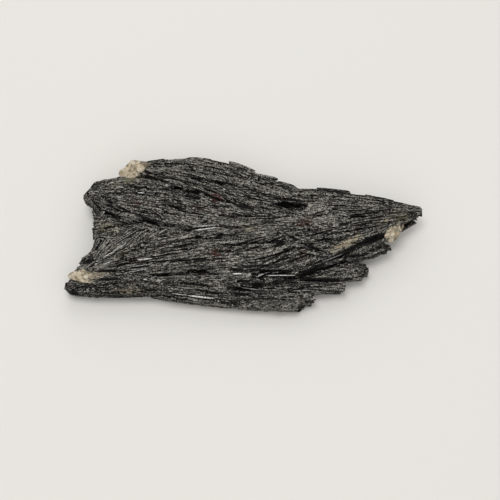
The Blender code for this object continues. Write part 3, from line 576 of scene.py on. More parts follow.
# Loose blades: spread evenly over the loop's length and the sheaf's, fewer where it is narrow.
# Crumbs keep to the top and the near side, and to the part that the sheaf gives them.
def chooseLoose(sheaf, kind, chance):
    look = looseLook[kind]
    length, width, height = sheafSize(sheaf)
    times, first, last = sheaf.get("crumbs", (1, 0, 1)) if kind == "crumbs" else (1, 0, 1)
    number = int(2 * length * (width.max() + height) * look["perArea"] * times)
    runs = np.array([width.max(), height, width.max(), height])
    ends = np.concatenate([[0], np.cumsum(runs)])
    reach = chance.uniform(0, ends[-1], number)
    side = np.searchsorted(ends, reach, side="right") - 1
    p = side + (reach - ends[side]) / runs[side]
    left, right = sheaf["ragged"]
    span = chance.uniform(*look["length"], number) / length
    middle = chance.uniform(first - 0.02, last + 0.02, number)
    share = np.interp(middle, sizeStations, width / width.max())
    keep = (chance.random(number) < share) | (side % 2 == 1)
    start = -chance.uniform(*looseEnds, number) * left / length
    start = np.maximum(middle - span / 2, start)
    finish = 1 + chance.uniform(*looseEnds, number) * right / length
    finish = np.minimum(middle + span / 2, finish)
    if kind == "crumbs":
        start, finish = np.maximum(start, 0.01), np.minimum(finish, 0.99)
        keep &= (side == 0) | (side == 3)
    keep &= finish - start > looseShortest / length
    start, finish, free = clearOfCrusts(sheaf, p, start, finish)
    keep &= shows(sheaf, p, (start + finish) / 2) & free
    number = keep.sum()
    return {"p": p[keep], "start": start[keep], "finish": finish[keep], "share": np.zeros(number),
            "wide": chance.uniform(*look["width"], number), "gap": np.zeros(number),
            "level": chance.uniform(*look["rise"], number),
            "lean": chance.normal(0, look["lean"], number),
            "stray": chance.normal(0, look["stray"], number)}


# The broad laths, at the places that the sheaf gives, with a random lean.
def placeLaths(sheaf, chance):
    p, start, finish, wide, level = np.array(sheaf["laths"], float).T
    none = np.zeros(len(p))
    return {"p": p, "start": start, "finish": finish, "share": none, "wide": wide, "gap": none,
            "level": level, "lean": chance.normal(0, lathLook["lean"], len(p)), "stray": none}


# Faces that close the end of a section, each between two corners on one side of it and two
# on the other.
def sectionCaps(sides):
    k = np.arange(sides // 2 - 1)
    return np.stack([k, k + 1, sides - 2 - k, sides - 1 - k], -1)


# Faces of closed blades: the walls from station to station, then the caps of both ends.
def bladeFaces(number, stations, sides):
    first = (np.arange(number) * stations * sides)[:, None, None, None]
    i, j = cells(stations - 1, sides)
    walls = (first + (i * sides + j % sides)).reshape(number, -1, 4)
    cap = sectionCaps(sides)
    caps = np.concatenate([cap, cap[:, ::-1] + (stations - 1) * sides])
    return np.concatenate([walls, first[:, 0] + caps], axis=1)


# Where the blades lie on the two maps. flow = millimetres along the blade and round its
# section, from a random start. sheet = a cell of its own for each blade, in rows, with the
# walls as a grid and the caps in its last column.
def bladeMaps(x, y, section, span, sheetRows, chance):
    number, stations, sides = x.shape
    i, j = cells(stations - 1, sides)
    u = np.linspace(0, 1, stations)
    shift = chance.uniform(0, 400, (number, 2))
    ring = np.stack([x, y], -1).mean(1)
    rim = np.linalg.norm(np.diff(ring, axis=1, append=ring[:, :1]), axis=-1)
    rim = np.concatenate([np.zeros((number, 1)), np.cumsum(rim, axis=1)], axis=1)
    wallFlow = np.stack([u[i] * span[:, None, None, None] + shift[:, 0, None, None, None],
                         rim[:, j] + shift[:, 1, None, None, None]], -1)
    cap = sectionCaps(sides)
    capFlow = section[np.concatenate([cap, cap[:, ::-1]])] * (0.8, 0.3) + shift[:, None, None]
    flow = np.concatenate([wallFlow.reshape(number, -1, 4, 2), capFlow], axis=1)
    perRow = max(1, int(np.ceil(np.sqrt(number * 0.35))))
    lines = max(1, int(np.ceil(number / perRow)))
    rowBase, rowShare = sheetRows
    cellX = (np.arange(number) % perRow) / perRow
    cellY = rowBase + rowShare * (np.arange(number) // perRow) / lines
    size = np.array([0.94 / perRow, 0.86 * rowShare / lines])
    wallSheet = np.stack([i / stations, j / sides], -1).reshape(1, -1, 4, 2)
    caps = 2 * len(cap)
    corner = np.array([[0, 0], [1, 0], [1, 1], [0, 1]], float)
    place = np.stack([np.full(caps, (stations - 0.85) / stations), np.arange(caps) / caps], -1)
    capSheet = (corner[None] * (0.8 / stations, 0.8 / caps) + place[:, None])[None]
    sheet = np.concatenate([wallSheet, capSheet], axis=1) * size
    return flow, np.stack([cellX, cellY], -1)[:, None, None] + sheet


# Closed blades along the skin. Corner = skin point at (p, t) + across times the section's width +
# out times its height, both turned by the blade's lean; the first and last stations are slid along
# the blade by a random slope, as it is broken off. Walls are painted in shade where they lie below
# the highest skin, and less so where they stand clear of it.
def shapeBlades(heap, sheaf, chosen, kind, section, chance):
    look = bladeLook
    length, width, height = sheafSize(sheaf)
    p, start, finish = chosen["p"], chosen["start"], chosen["finish"]
    number, sides, stations = len(p), len(section), kind["stations"]
    side = np.floor(p)
    u = np.linspace(0, 1, stations)
    t = start[:, None] + (finish - start)[:, None] * u
    local = np.interp(t, sizeStations, width)
    local = np.where((side % 2 == 0)[:, None], local, height)
    wide = chosen["share"][:, None] * local + chosen["wide"][:, None] - chosen["gap"][:, None]
    wide = np.maximum(wide, look["narrowest"])
    path = p[:, None] + chosen["stray"][:, None] / local * (u - 0.5)
    path = side[:, None] + np.clip(path - side[:, None], 0, 0.9999)
    point, along, across, out = skinFrame(sheaf, path, t)
    taper = np.ones((number, stations))
    taper[:, 0] = chance.uniform(look["ends"][0], 1.0, number)
    taper[:, -1] = chance.uniform(look["ends"][1], 1.0, number)
    lean = np.radians(chosen["lean"])[:, None, None]
    x = (wide * taper)[..., None] * section[:, 0]
    thick = look["thick"] * np.minimum(wide, look["thickUpTo"])[..., None]
    y = np.where(section[:, 1] > 0, section[:, 1] * thick, -look["sunk"])
    y = y + np.where(section[:, 1] > 0, chance.normal(0, look["rough"], y.shape), 0)
    dip = chance.uniform(0, look["dip"], (number, 2))
    dip = dip * (chance.random((number, 2)) < look["dipOften"])
    lift = chosen["level"][:, None] - dip[:, :1] * (1 - u) ** 3 - dip[:, 1:] * u ** 3
    lift = lift - look["bed"]
    turnedX = x * np.cos(lean) - y * np.sin(lean)
    turnedY = x * np.sin(lean) + y * np.cos(lean) + lift[..., None]
    slide = np.zeros(x.shape)
    slope = chance.normal(0, look["slope"], (number, 2))
    for end in (0, -1):
        chips = chance.uniform(-look["chip"], look["chip"], (number, sides))
        slide[:, end] = slope[:, end, None] * x[:, end] + chips
    corner = (point[:, :, None] + across[:, :, None] * turnedX[..., None]
              + out[:, :, None] * turnedY[..., None] + along[:, :, None] * slide[..., None])
    span = (finish - start) * length
    flow, sheet = bladeMaps(x, y, section, span, kind["sheet"], chance)
    tone = np.broadcast_to(chance.random(number)[:, None, None], x.shape)
    high = cover(corner[..., 0], corner[..., 1])[0]
    buried = (high + look["clearFrom"] - corner[..., 2]) / look["clearOver"]
    buried = np.clip(buried, look["clearWall"], 1)
    wall = np.where(section[:, 0] < 0, buried[..., :1], buried[..., -1:])
    slant = np.where(section[:, 1] > 0, look["shoulder"], 1.0)
    deep = wall * np.where(section[:, 1] > 0.6, 0.0, slant)
    deep = deep + look["darkLow"] * np.clip(-chosen["level"], 0, 1)[:, None, None]
    deep = deep + look["darkHollow"] * bells(hollows, corner) + bells(shades, corner)
    gleam = (chance.random(number) < kind["gleams"])[:, None, None] + 0 * x
    heap.add(corner, bladeFaces(number, stations, sides), flow, sheet, tone,
             np.clip(deep, *paintedShadeRange), gleam)
    return number


# Single blades that catch the light or lie across the others: start and end in the layout, width
# and how strong the painted highlight on them is. Below 0 is a dull lath that stands out level
# past the edge.
singles = [
    ((-12.9, 0.0), (-6.9, 0.8), 0.42, 0.8), ((-14.4, -17.9), (-7.4, -18.7), 0.52, 1.0),
    ((-2.2, -12.5), (0.3, -12.5), 0.50, 1.0), ((4.3, -12.6), (6.0, -12.6), 0.50, 1.0),
    ((6.8, -13.0), (14.9, -13.0), 0.30, 0.8), ((16.1, -6.1), (23.9, -7.6), 1.0, 0.0),
    ((-31.5, -11.9), (-25.9, -11.0), 0.28, 0.5), ((-29.3, 11.3), (-27.3, 11.2), 0.30, 0.9),
    ((-27.0, -14.0), (-26.0, -14.0), 0.40, 0.9), ((-5.3, 12.4), (-4.3, 12.2), 0.30, 0.9),
    ((-5.6, -14.2), (-4.6, -12.6), 0.30, 0.5), ((-38.0, -9.6), (-35.6, -8.6), 0.28, 0.5),
    ((14.0, -16.4), (20.5, -16.0), 0.30, 0.3), ((-20.0, 2.6), (-16.5, 2.2), 0.28, 0.4),
    ((0.0, -15.6), (5.0, -16.2), 0.30, 0.35), ((22.5, -9.2), (28.0, -6.9), 0.34, 0.25),
    ((-34.9, -3.0), (-28.6, 0.9), 0.26, 0.4), ((-19.2, -17.3), (-14.9, -17.8), 0.4, 0.45),
    ((-18.2, -15.7), (-12.8, -16.3), 0.36, 0.3), ((-36.4, -3.2), (-30.4, 0.4), 0.24, 0.3),
    ((-30.5, -10.4), (-24.8, -9.6), 0.26, 0.4), ((-12.4, 1.0), (-6.8, 1.6), 0.5, 0.35),
    ((-3.6, 22.4), (3.8, 19.4), 1.2, -1.0), ((3.0, 18.6), (10.2, 17.1), 0.9, -1.0),
    ((9.8, 16.6), (15.4, 15.0), 0.9, -1.0), ((-15.6, 23.1), (-9.4, 23.1), 1.0, -1.0),
]
# How they are made, in millimetres: stations along them, how high they lie, how far a lath lies
# below the highest skin under it, how much their ends narrow, their thickness and what their width
# adds to it, how much deeper their foot is, how far bright and other ends are broken, and their
# tone, with how much painted shade their tops and sides have.
singleLook = {"stations": 8, "lift": 0.34, "lathDrop": 0.3, "narrow": 0.65, "thick": 0.35,
              "thickByWidth": 0.5, "foot": 0.15, "brokenBright": 0.12, "broken": 0.30,
              "tone": 0.6, "darkTop": 0.1, "darkSide": 0.9}
singleSection = np.array([(-0.5, -1), (-0.5, 0.3), (-0.42, 0.5), (0.42, 0.5), (0.5, 0.3),
                          (0.5, -1)])


# A flat-topped bar on a straight line: height = a straight line through the highest skin
# under its stations + lift, the section carried level across the line.
def growSingles(heap, chance):
    look, section = singleLook, singleSection
    stations, sides, number = look["stations"], len(section), len(singles)
    u = np.linspace(0, 1, stations)[:, None]
    start = np.array([single[0] for single in singles], float)[:, None]
    finish = np.array([single[1] for single in singles], float)[:, None]
    wide = np.array([single[2] for single in singles])[:, None, None]
    bright = np.array([single[3] for single in singles])
    line = start + (finish - start) * u
    high = cover(line[..., 0], line[..., 1])[0]
    high = np.where(high < 0, high.max(1)[:, None], high)
    slope = np.polyfit(u[:, 0], high.T, 1)
    z = slope[0][:, None] * u[:, 0] + slope[1][:, None] + look["lift"]
    z = np.where(bright[:, None] < 0, high.max(1)[:, None] - look["lathDrop"], z)
    way = unit(finish - start)
    aside = np.stack([-way[..., 1], way[..., 0]], -1)
    x = wide * section[:, 0] * (1 - look["narrow"] * (2 * u[None] - 1) ** 4)
    y = section[:, 1] * (look["thick"] + look["thickByWidth"] * wide)
    y = y - look["foot"] * (section[:, 1] < 0)
    point = np.concatenate([line[:, :, None] + aside[:, :, None] * x[..., None],
                            (z[..., None] + y + 0 * x)[..., None]], -1)
    broken = np.where(bright > 0, look["brokenBright"], look["broken"])[:, None, None]
    for end in (0, -1):
        point[:, end, :, :2] += way * chance.normal(0, 1, (number, sides, 1)) * broken
    faces = bladeFaces(number, stations, sides)[..., ::-1]
    i, j = cells(stations - 1, sides)
    reach = np.linalg.norm(finish - start, axis=-1)[:, :, None, None]
    apart = 9 * stations * sides * np.arange(number)[:, None, None, None]
    wallFlow = np.stack([u[:, 0][i] * reach + apart, wide[..., None] * j + 0 * reach], -1)
    wallFlow = wallFlow[..., ::-1, :].reshape(number, -1, 4, 2)
    flow = np.concatenate([wallFlow, np.zeros((number, 4, 4, 2))], 1)
    cell = np.stack([np.arange(number) % 4 / 4, 0.02 + 0.9 * (np.arange(number) // 4) / 4], -1)
    wallSheet = np.stack([i / stations, j / sides], -1)[..., ::-1, :].reshape(1, -1, 4, 2)
    capSheet = np.array([[0, 0], [1, 0], [1, 1], [0, 1]]) * 0.05 + np.array([0.93, 0.1])
    capSheet = capSheet + np.arange(4)[:, None, None] * (0, 0.2)
    sheet = np.concatenate([wallSheet, capSheet[None]], 1) * (0.22, 0.2)
    # Painted shade on the sides, lighter on the tops, and a painted highlight on the tops of the
    # bright ones.
    top = section[:, 1] > 0.4
    deep = np.where(top, look["darkTop"], look["darkSide"]) + 0 * x
    gleam = np.maximum(bright, 0)[:, None, None] * top + 0 * x
    heap.add(point, faces, flow, cell[:, None, None] + sheet, look["tone"] + 0 * x, deep, gleam)


# Smooth cleavage plates on the upper face: corners as (x, y) and the height of their top.
plates = {
    "upper_plate": {
        "corners": [(15.4, 4.6), (17.9, 6.2), (18.8, 7.6), (22.9, 8.0), (25.6, 6.4), (24.0, 5.0),
                    (19.4, 4.4), (17.6, 3.4)],
        "height": 10.75},
    "lower_plate": {
        "corners": [(18.4, 2.6), (22.5, 4.3), (29.6, 4.9), (30.1, 3.2), (31.0, 2.2), (29.8, 0.9),
                    (25.4, 1.0), (24.0, 0.3), (19.6, 1.2)],
        "height": 10.85},
}
# How far they rise for each millimetre towards the far side, how deep they go, their points
# round the rim, the rings from hub to rim, how far down each ring of the wall is, how rough
# the rim and the face are, and how high the face's faint ribs.
plateLook = {"dip": 0.06, "depth": 2.0, "around": 96, "rings": 14, "hub": 0.04,
             "wall": [0.35, 0.8, 1.0], "rimRough": 0.06, "rough": 0.012, "ribs": 0.05,
             "tone": 0.75}


# A slab on a polygon: point = middle + r times the rim at angle v, r running 0 to 1 over the
# top, then straight down the edge and back under it to the middle. On the wall the flow map
# is the distance round the rim and down.
def growPlate(heap, plate, chance):
    look = plateLook
    around, rings = look["around"], look["rings"]
    corners = np.array(plate["corners"], float)
    middle = corners.mean(0)
    place = np.linspace(0, len(corners), around, endpoint=False)
    first = place.astype(int)
    part = (place - first)[:, None]
    rim = corners[first] * (1 - part) + corners[(first + 1) % len(corners)] * part
    rim = rim + chance.normal(0, look["rimRough"], rim.shape)
    hub = look["hub"]
    r = np.concatenate([np.linspace(hub, 1, rings), np.ones(len(look["wall"])), [hub]])
    drop = np.concatenate([np.zeros(rings), look["wall"], [1.0]])
    flat = middle + (rim - middle)[None] * r[:, None, None]
    z = plate["height"] + look["dip"] * (flat[..., 1] - middle[1]) - drop[:, None] * look["depth"]
    z = z + chance.normal(0, look["rough"], z.shape)
    z = z + look["ribs"] * np.sin(flat[..., 1] * 5 + flat[..., 0] * 0.4)
    point = np.concatenate([flat, z[..., None]], -1)
    rows = len(r) - 1
    i, j = cells(rows, around)[..., ::-1]
    girth = np.cumsum(np.linalg.norm(np.diff(rim, axis=0, append=rim[:1]), axis=1))
    down = np.stack([np.append(0, girth)[j], drop[i] * look["depth"]], -1)
    wall = (i.min(-1) >= rings - 1)[..., None, None]
    spot = point[i, j % around][..., :2]
    flow = np.where(wall, down, spot) + (60, 90)
    size = np.ptp(corners, axis=0)
    sheet = (spot - corners.min(0) + 0.3) / (size.max() + 0.6) * 0.45 + (0.5, 0.53)
    start = heap.count
    # The wall and underside are painted darker the further down they lie, as shade, with the broad
    # patches of painted shade and light.
    heap.add(point, i * around + j % around, flow, sheet, np.full(z.shape, look["tone"]),
             drop[:, None] * np.ones(around) + bells(shades, point))
    for row, way in ((0, 1), (rows, -1)):
        near, far = (start + row * around + np.arange(around)).reshape(2, -1)
        far = far[::-1]
        quads = np.stack([near[:-1], near[1:], far[1:], far[:-1]], -1)[:, ::way]
        heap.add(np.zeros((0, 3)), quads - heap.count, np.full((len(quads), 4, 2), 70.0),
                 np.full((len(quads), 4, 2), 0.6), np.zeros(0), np.zeros(0))


# Remnants of the pale mineral: middle, size, turn about Z in degrees, at what share of their size
# the blades stop short of them, how many grains they are made of, the grains' size and how far
# they stand out, how much darker the whole is, and from where on, in which direction from its
# middle, it is painted in shade because the blades bury it.
crusts = {
    "upper_left": {
        "middle": (-30.2, 19.4, 7.6), "size": (10.2, 6.0, 5.8), "turn": 14, "clear": 0.72,
        "grains": 300, "grain": 0.85, "proud": 0.42, "seed": 21, "dull": 0.0,
        "buried": ((0.8, 0.6), 1.3)},
    "right": {
        "middle": (41.9, 1.2, 7.2), "size": (7.2, 5.0, 4.6), "turn": 50, "clear": 0.62,
        "grains": 240, "grain": 0.8, "proud": 0.40, "seed": 22, "dull": 0.3,
        "buried": ((-0.7, 0.7), 1.3)},
    "lower_left": {
        "middle": (-43.2, -12.5, 7.1), "size": (9.8, 4.2, 2.4), "turn": 8, "clear": 0.55,
        "grains": 320, "grain": 0.7, "proud": 0.34, "seed": 23, "dull": 0.5,
        "buried": ((1.0, 0.2), 1.7)},
}
# Their mesh, the planes that cut them and how blunt the edges are, their slow waves, how rough
# they are and how the painted shade where the blades bury them grows, the colours of their grains
# and of the painted shade in their hollows, and their coarse and fine noise, in marks per metre.
crustLook = {"rows": 96, "columns": 128, "cuts": 10, "cutDepth": (0.62, 0.95), "edge": 30,
             "waves": 6, "waveSize": 3.0, "lumps": 0.07, "rough": 0.025, "buriedOver": 0.8,
             "buriedMost": 1.3, "cream": (0.80, 0.72, 0.57), "tan": (0.52, 0.39, 0.23),
             "rose": (0.60, 0.53, 0.42), "grey": (0.25, 0.22, 0.15),
             "crackShade": (0.09, 0.075, 0.055), "black": (0.045, 0.043, 0.038),
             "coarse": 900.0, "fine": 2400.0, "roughness": 0.7, "bump": 0.00012}


# A block covered in grains: radius = distance to the nearest of a few random planes that cut
# the unit ball, times half the size, + for the nearest grain a rounded cap, the square root
# of 1 less its squared distance.
def growCrust(title, crust, material):
    look = crustLook
    chance = np.random.default_rng(crust["seed"])
    rows, columns = look["rows"], look["columns"]
    v = np.linspace(0, np.pi, rows + 1)[:, None]
    w = np.linspace(0, 2 * np.pi, columns, endpoint=False)[None, :]
    way = np.stack([np.sin(v) * np.cos(w), np.sin(v) * np.sin(w), np.cos(v) + 0 * w], -1)
    half = np.array(crust["size"]) / 2
    planes = unit(chance.normal(0, 1, (look["cuts"], 3)))
    depth = chance.uniform(*look["cutDepth"], look["cuts"])
    reach = depth / np.maximum(way @ planes.T, 0.3)
    waves = chance.normal(0, look["waveSize"], (look["waves"], 3))
    phases = chance.uniform(0, 6, look["waves"])
    slow = sum(np.sin(way @ wave + phase) for wave, phase in zip(waves, phases))
    edge = look["edge"]
    blunt = -np.log(np.exp(-edge * reach).sum(-1) + np.exp(-edge)) / edge
    base = way * half * (blunt * (1 + look["lumps"] * slow))[..., None]
    seeds = unit(chance.normal(0, 1, (crust["grains"], 3)))
    seedReach = depth / np.maximum(seeds @ planes.T, 0.3)
    seeds = seeds * half * np.minimum(seedReach.min(-1), 1)[:, None]
    size = crust["grain"] * chance.uniform(0.6, 1.4, crust["grains"])
    apart = np.linalg.norm(base[:, :, None] - seeds, axis=-1) / size
    cap = np.sqrt(np.clip(1 - apart ** 2, 0, 1)) * size / crust["grain"]
    rise = cap.max(-1) * crust["proud"]
    rough = chance.normal(0, look["rough"], rise.shape)
    point = base + unit(way * half) * (rise + rough)[..., None]
    point[0] = point[0].mean(0)
    point[-1] = point[-1].mean(0)
    point = point @ turnMatrix(-crust["turn"]) + crust["middle"]
    point[..., 2] = np.maximum(point[..., 2], skinShape["lowest"])
    heap = Heap()
    i, j = cells(rows, columns)
    flow = np.stack([j * 0.15, i * 0.1], -1)
    sheet = sheetPlace(sheetRooms["crust"], j / columns, i / rows)
    tone = chance.random(crust["grains"])[cap.argmax(-1)]
    towards, begin = crust["buried"]
    buried = (point[..., :2] - crust["middle"][:2]) @ towards - begin
    # Painted shade: darker in the dips between the grains and where the blades bury it, and over
    # the whole by its dullness.
    deep = 1 - rise / crust["proud"] + crust["dull"]
    deep = deep + np.clip(buried / look["buriedOver"], 0, look["buriedMost"])
    heap.add(point, i * columns + j % columns, flow, sheet, tone, np.clip(deep, 0, 1))
    made = heap.piece("crust_" + title, material, "pale_matrix", "pale_matrix_" + title)
    closePoles(made)
    return made


# Merges the points that meet at the poles, so that the mesh is closed.
def closePoles(made):
    mesh = bmesh.new()
    mesh.from_mesh(made.data)
    bmesh.ops.remove_doubles(mesh, verts=mesh.verts, dist=1e-6)
    mesh.to_mesh(made.data)
    mesh.free()


# Adds a shader node with its own settings and socket values.
def addNode(tree, kind, inputs=None, **settings):
    made = tree.nodes.new(kind)
    for key, value in settings.items():
        setattr(made, key, value)
    for key, value in (inputs or {}).items():
        made.inputs[key].default_value = value
    return made


# Joins outputs to inputs, given as (node, output, node, input).
def join(tree, *wires):
    for source, output, target, socket in wires:
        tree.links.new(source.outputs[output], target.inputs[socket])


# A number worked out from two others.
def sums(tree, kind, first, second, clamp=False):
    made = addNode(tree, "ShaderNodeMath", operation=kind, use_clamp=clamp)
    for place, value in enumerate((first, second)):
        if isinstance(value, (int, float)):
            made.inputs[place].default_value = value
        else:
            tree.links.new(value, made.inputs[place])
    return made.outputs[0]


# How far a number lies above a start, times a gain, kept between 0 and 1.
def above(tree, value, start, gain):
    return sums(tree, "MULTIPLY", sums(tree, "SUBTRACT", value, start), gain, True)


# A number + how far another lies from its middle, 0.5, times a weight.
def sway(tree, value, other, weight):
    apart = sums(tree, "SUBTRACT", other, 0.5)
    return sums(tree, "ADD", value, sums(tree, "MULTIPLY", apart, weight))


# A colour between two others, by a factor, or one multiplied by the other.
def blendColours(tree, factor, first, second, kind="MIX"):
    made = addNode(tree, "ShaderNodeMix", data_type="RGBA", blend_type=kind)
    for place, value in ((0, factor), (6, first), (7, second)):
        if isinstance(value, (int, float)):
            made.inputs[place].default_value = value
        elif isinstance(value, tuple):
            made.inputs[place].default_value = (*value, 1)
        else:
            tree.links.new(value, made.inputs[place])
    return made.outputs[2]


# One of the numbers that every point of a piece carries.
def pointNumber(tree, title):
    return addNode(tree, "ShaderNodeAttribute", attribute_name=title).outputs["Fac"]


# The piece's own map, stretched along and across the blades.
def flowPlace(tree, along, across):
    place = addNode(tree, "ShaderNodeUVMap", uv_map="flow")
    scale = addNode(tree, "ShaderNodeMapping", {"Scale": (along, across, 1)})
    join(tree, (place, "UV", scale, "Vector"))
    return scale


# Streaky noise on it: marks per millimetre along and across, and their detail.
def flowNoise(tree, along, across, detail):
    place = flowPlace(tree, along, across)
    made = addNode(tree, "ShaderNodeTexNoise", {"Scale": 1.0, "Detail": detail, "Roughness": 0.6},
                   noise_dimensions="2D")
    join(tree, (place, "Vector", made, "Vector"))
    return made.outputs["Fac"]


# Grains on it, each with a random colour, whose channels are three random numbers.
def flowGrains(tree, along, across):
    place = flowPlace(tree, along, across)
    made = addNode(tree, "ShaderNodeTexVoronoi", {"Scale": 1.0}, voronoi_dimensions="2D")
    channels = addNode(tree, "ShaderNodeSeparateColor")
    join(tree, (place, "Vector", made, "Vector"), (made, "Color", channels, "Color"))
    return made.outputs["Color"], channels.outputs


# How far a place on the piece lies from the middle of an ellipsoid, as a share of its half
# lengths, which are turned about Z.
def ellipsoid(tree, place, middle, half, turn):
    shift = addNode(tree, "ShaderNodeMapping", vector_type="TEXTURE")
    shift.inputs["Location"].default_value = (np.array(middle) - layoutMiddle) * mm
    shift.inputs["Rotation"].default_value = (0, 0, turn)
    shift.inputs["Scale"].default_value = np.array(half) * mm
    far = addNode(tree, "ShaderNodeVectorMath", operation="LENGTH")
    join(tree, (place, "Object", shift, "Vector"), (shift, "Vector", far, "Vector"))
    return far.outputs["Value"]


# Whether any of a piece's showing points lies inside a mark's ellipse: the scaled distance
# along it squared + the one across it squared is under 1.
def touched(points, middle, half, turn):
    x, y = points[:, 0] - middle[0], points[:, 1] - middle[1]
    along = (x * np.cos(turn) + y * np.sin(turn)) / half[0]
    across = (y * np.cos(turn) - x * np.sin(turn)) / half[1]
    return bool(np.any(along ** 2 + across ** 2 < 1))


# Patches of colour on the blades: middle, half lengths, turn about Z in degrees, colour and
# how fully it covers.
rust = (0.060, 0.020, 0.016)
cream = (0.42, 0.36, 0.26)
moss = (0.15, 0.145, 0.09)
ash = (0.22, 0.215, 0.19)
stains = [
    ((-6.9, 9.5, 9.7), (1.7, 1.4, 3), 0, rust, 0.88),
    ((-7.1, -6.5, 9.2), (1.4, 1.5, 3), 0, rust, 0.82),
    ((-11.0, 7.3, 9.6), (2.4, 0.9, 3), 0, rust, 0.5),
    ((-29.0, 8.3, 9.6), (3.4, 1.2, 3), -6, rust, 0.45),
    ((-28.7, -9.0, 9.0), (2.6, 0.9, 3), 8, rust, 0.4),
    ((-10.8, -11.4, 8.6), (2.2, 0.8, 3), 0, rust, 0.45),
    ((17.5, 2.2, 10.0), (2.2, 1.4, 3), 10, rust, 0.7),
    ((32.3, 1.0, 9.6), (2.2, 1.0, 3), 25, rust, 0.5),
    ((17.0, -6.5, 9.4), (1.2, 1.6, 3), 0, rust, 0.5),
    ((-37.9, 1.8, 8.6), (3.2, 1.4, 3), -6, cream, 0.5),
    ((-36.0, 14.0, 9.0), (2.0, 1.5, 3), 0, moss, 0.5),
    ((-31.6, 15.9, 9.0), (2.6, 1.3, 3), 15, moss, 0.8),
    ((-26.8, 18.6, 9.0), (2.4, 1.2, 3), 0, ash, 0.7),
    ((44.4, 4.0, 8.6), (3.2, 1.8, 3), 15, moss, 0.65),
    ((38.8, 2.0, 8.8), (3.2, 1.4, 3), 25, moss, 0.45),
    ((29.4, -3.7, 9.4), (4.4, 1.0, 3), 29, cream, 0.85),
    ((15.0, -20.2, 5.6), (5.6, 1.5, 3), 4, ash, 0.45),
    ((7.0, -20.0, 5.8), (5.0, 1.2, 3), 0, ash, 0.45),
    ((-41.6, -12.4, 8.0), (5.0, 1.4, 3), 8, cream, 0.72),
    ((-38.2, -10.2, 8.2), (3.2, 1.2, 3), 14, ash, 0.75),
    ((-33.0, -6.2, 8.6), (2.6, 1.4, 3), 35, moss, 0.4),
    ((-31.0, -16.4, 6.4), (4.5, 0.8, 3), 0, cream, 0.45),
    ((5.0, 0.2, 10.0), (8.5, 1.6, 3), 6, ash, 0.3), ((-7.5, 5.6, 9.8), (4.5, 0.7, 3), 0, ash, 0.3),
    ((28.6, 5.2, 9.8), (2.0, 1.5, 3), 0, ash, 0.4),
    ((13.8, 2.5, 10.2), (2.0, 1.0, 3), 20, ash, 0.5),
    ((40.6, 3.5, 8.8), (2.6, 1.0, 3), 28, cream, 0.5),
    ((2.6, 0.4, 10.0), (2.8, 0.8, 3), 0, cream, 0.4),
]


# Lays each stain over a colour: each grain changes colour where its own random number is
# less than the stain's cover times how near the grain is to the stain's middle.
def addStains(tree, colour, grains, showing):
    place = addNode(tree, "ShaderNodeTexCoord")
    for middle, half, turn, tint, covers in stains:
        turn = np.radians(turn)
        if not touched(showing, middle, np.array(half) * 1.4, turn):
            continue
        far = ellipsoid(tree, place, middle, half, turn)
        near = sums(tree, "MULTIPLY", sums(tree, "SUBTRACT", 1.5, far), 1.1 * covers, True)
        patch = sums(tree, "MULTIPLY", above(tree, near, grains, 3.5), 0.25 + 0.75 * covers)
        colour = blendColours(tree, patch, colour, tint)
    return colour
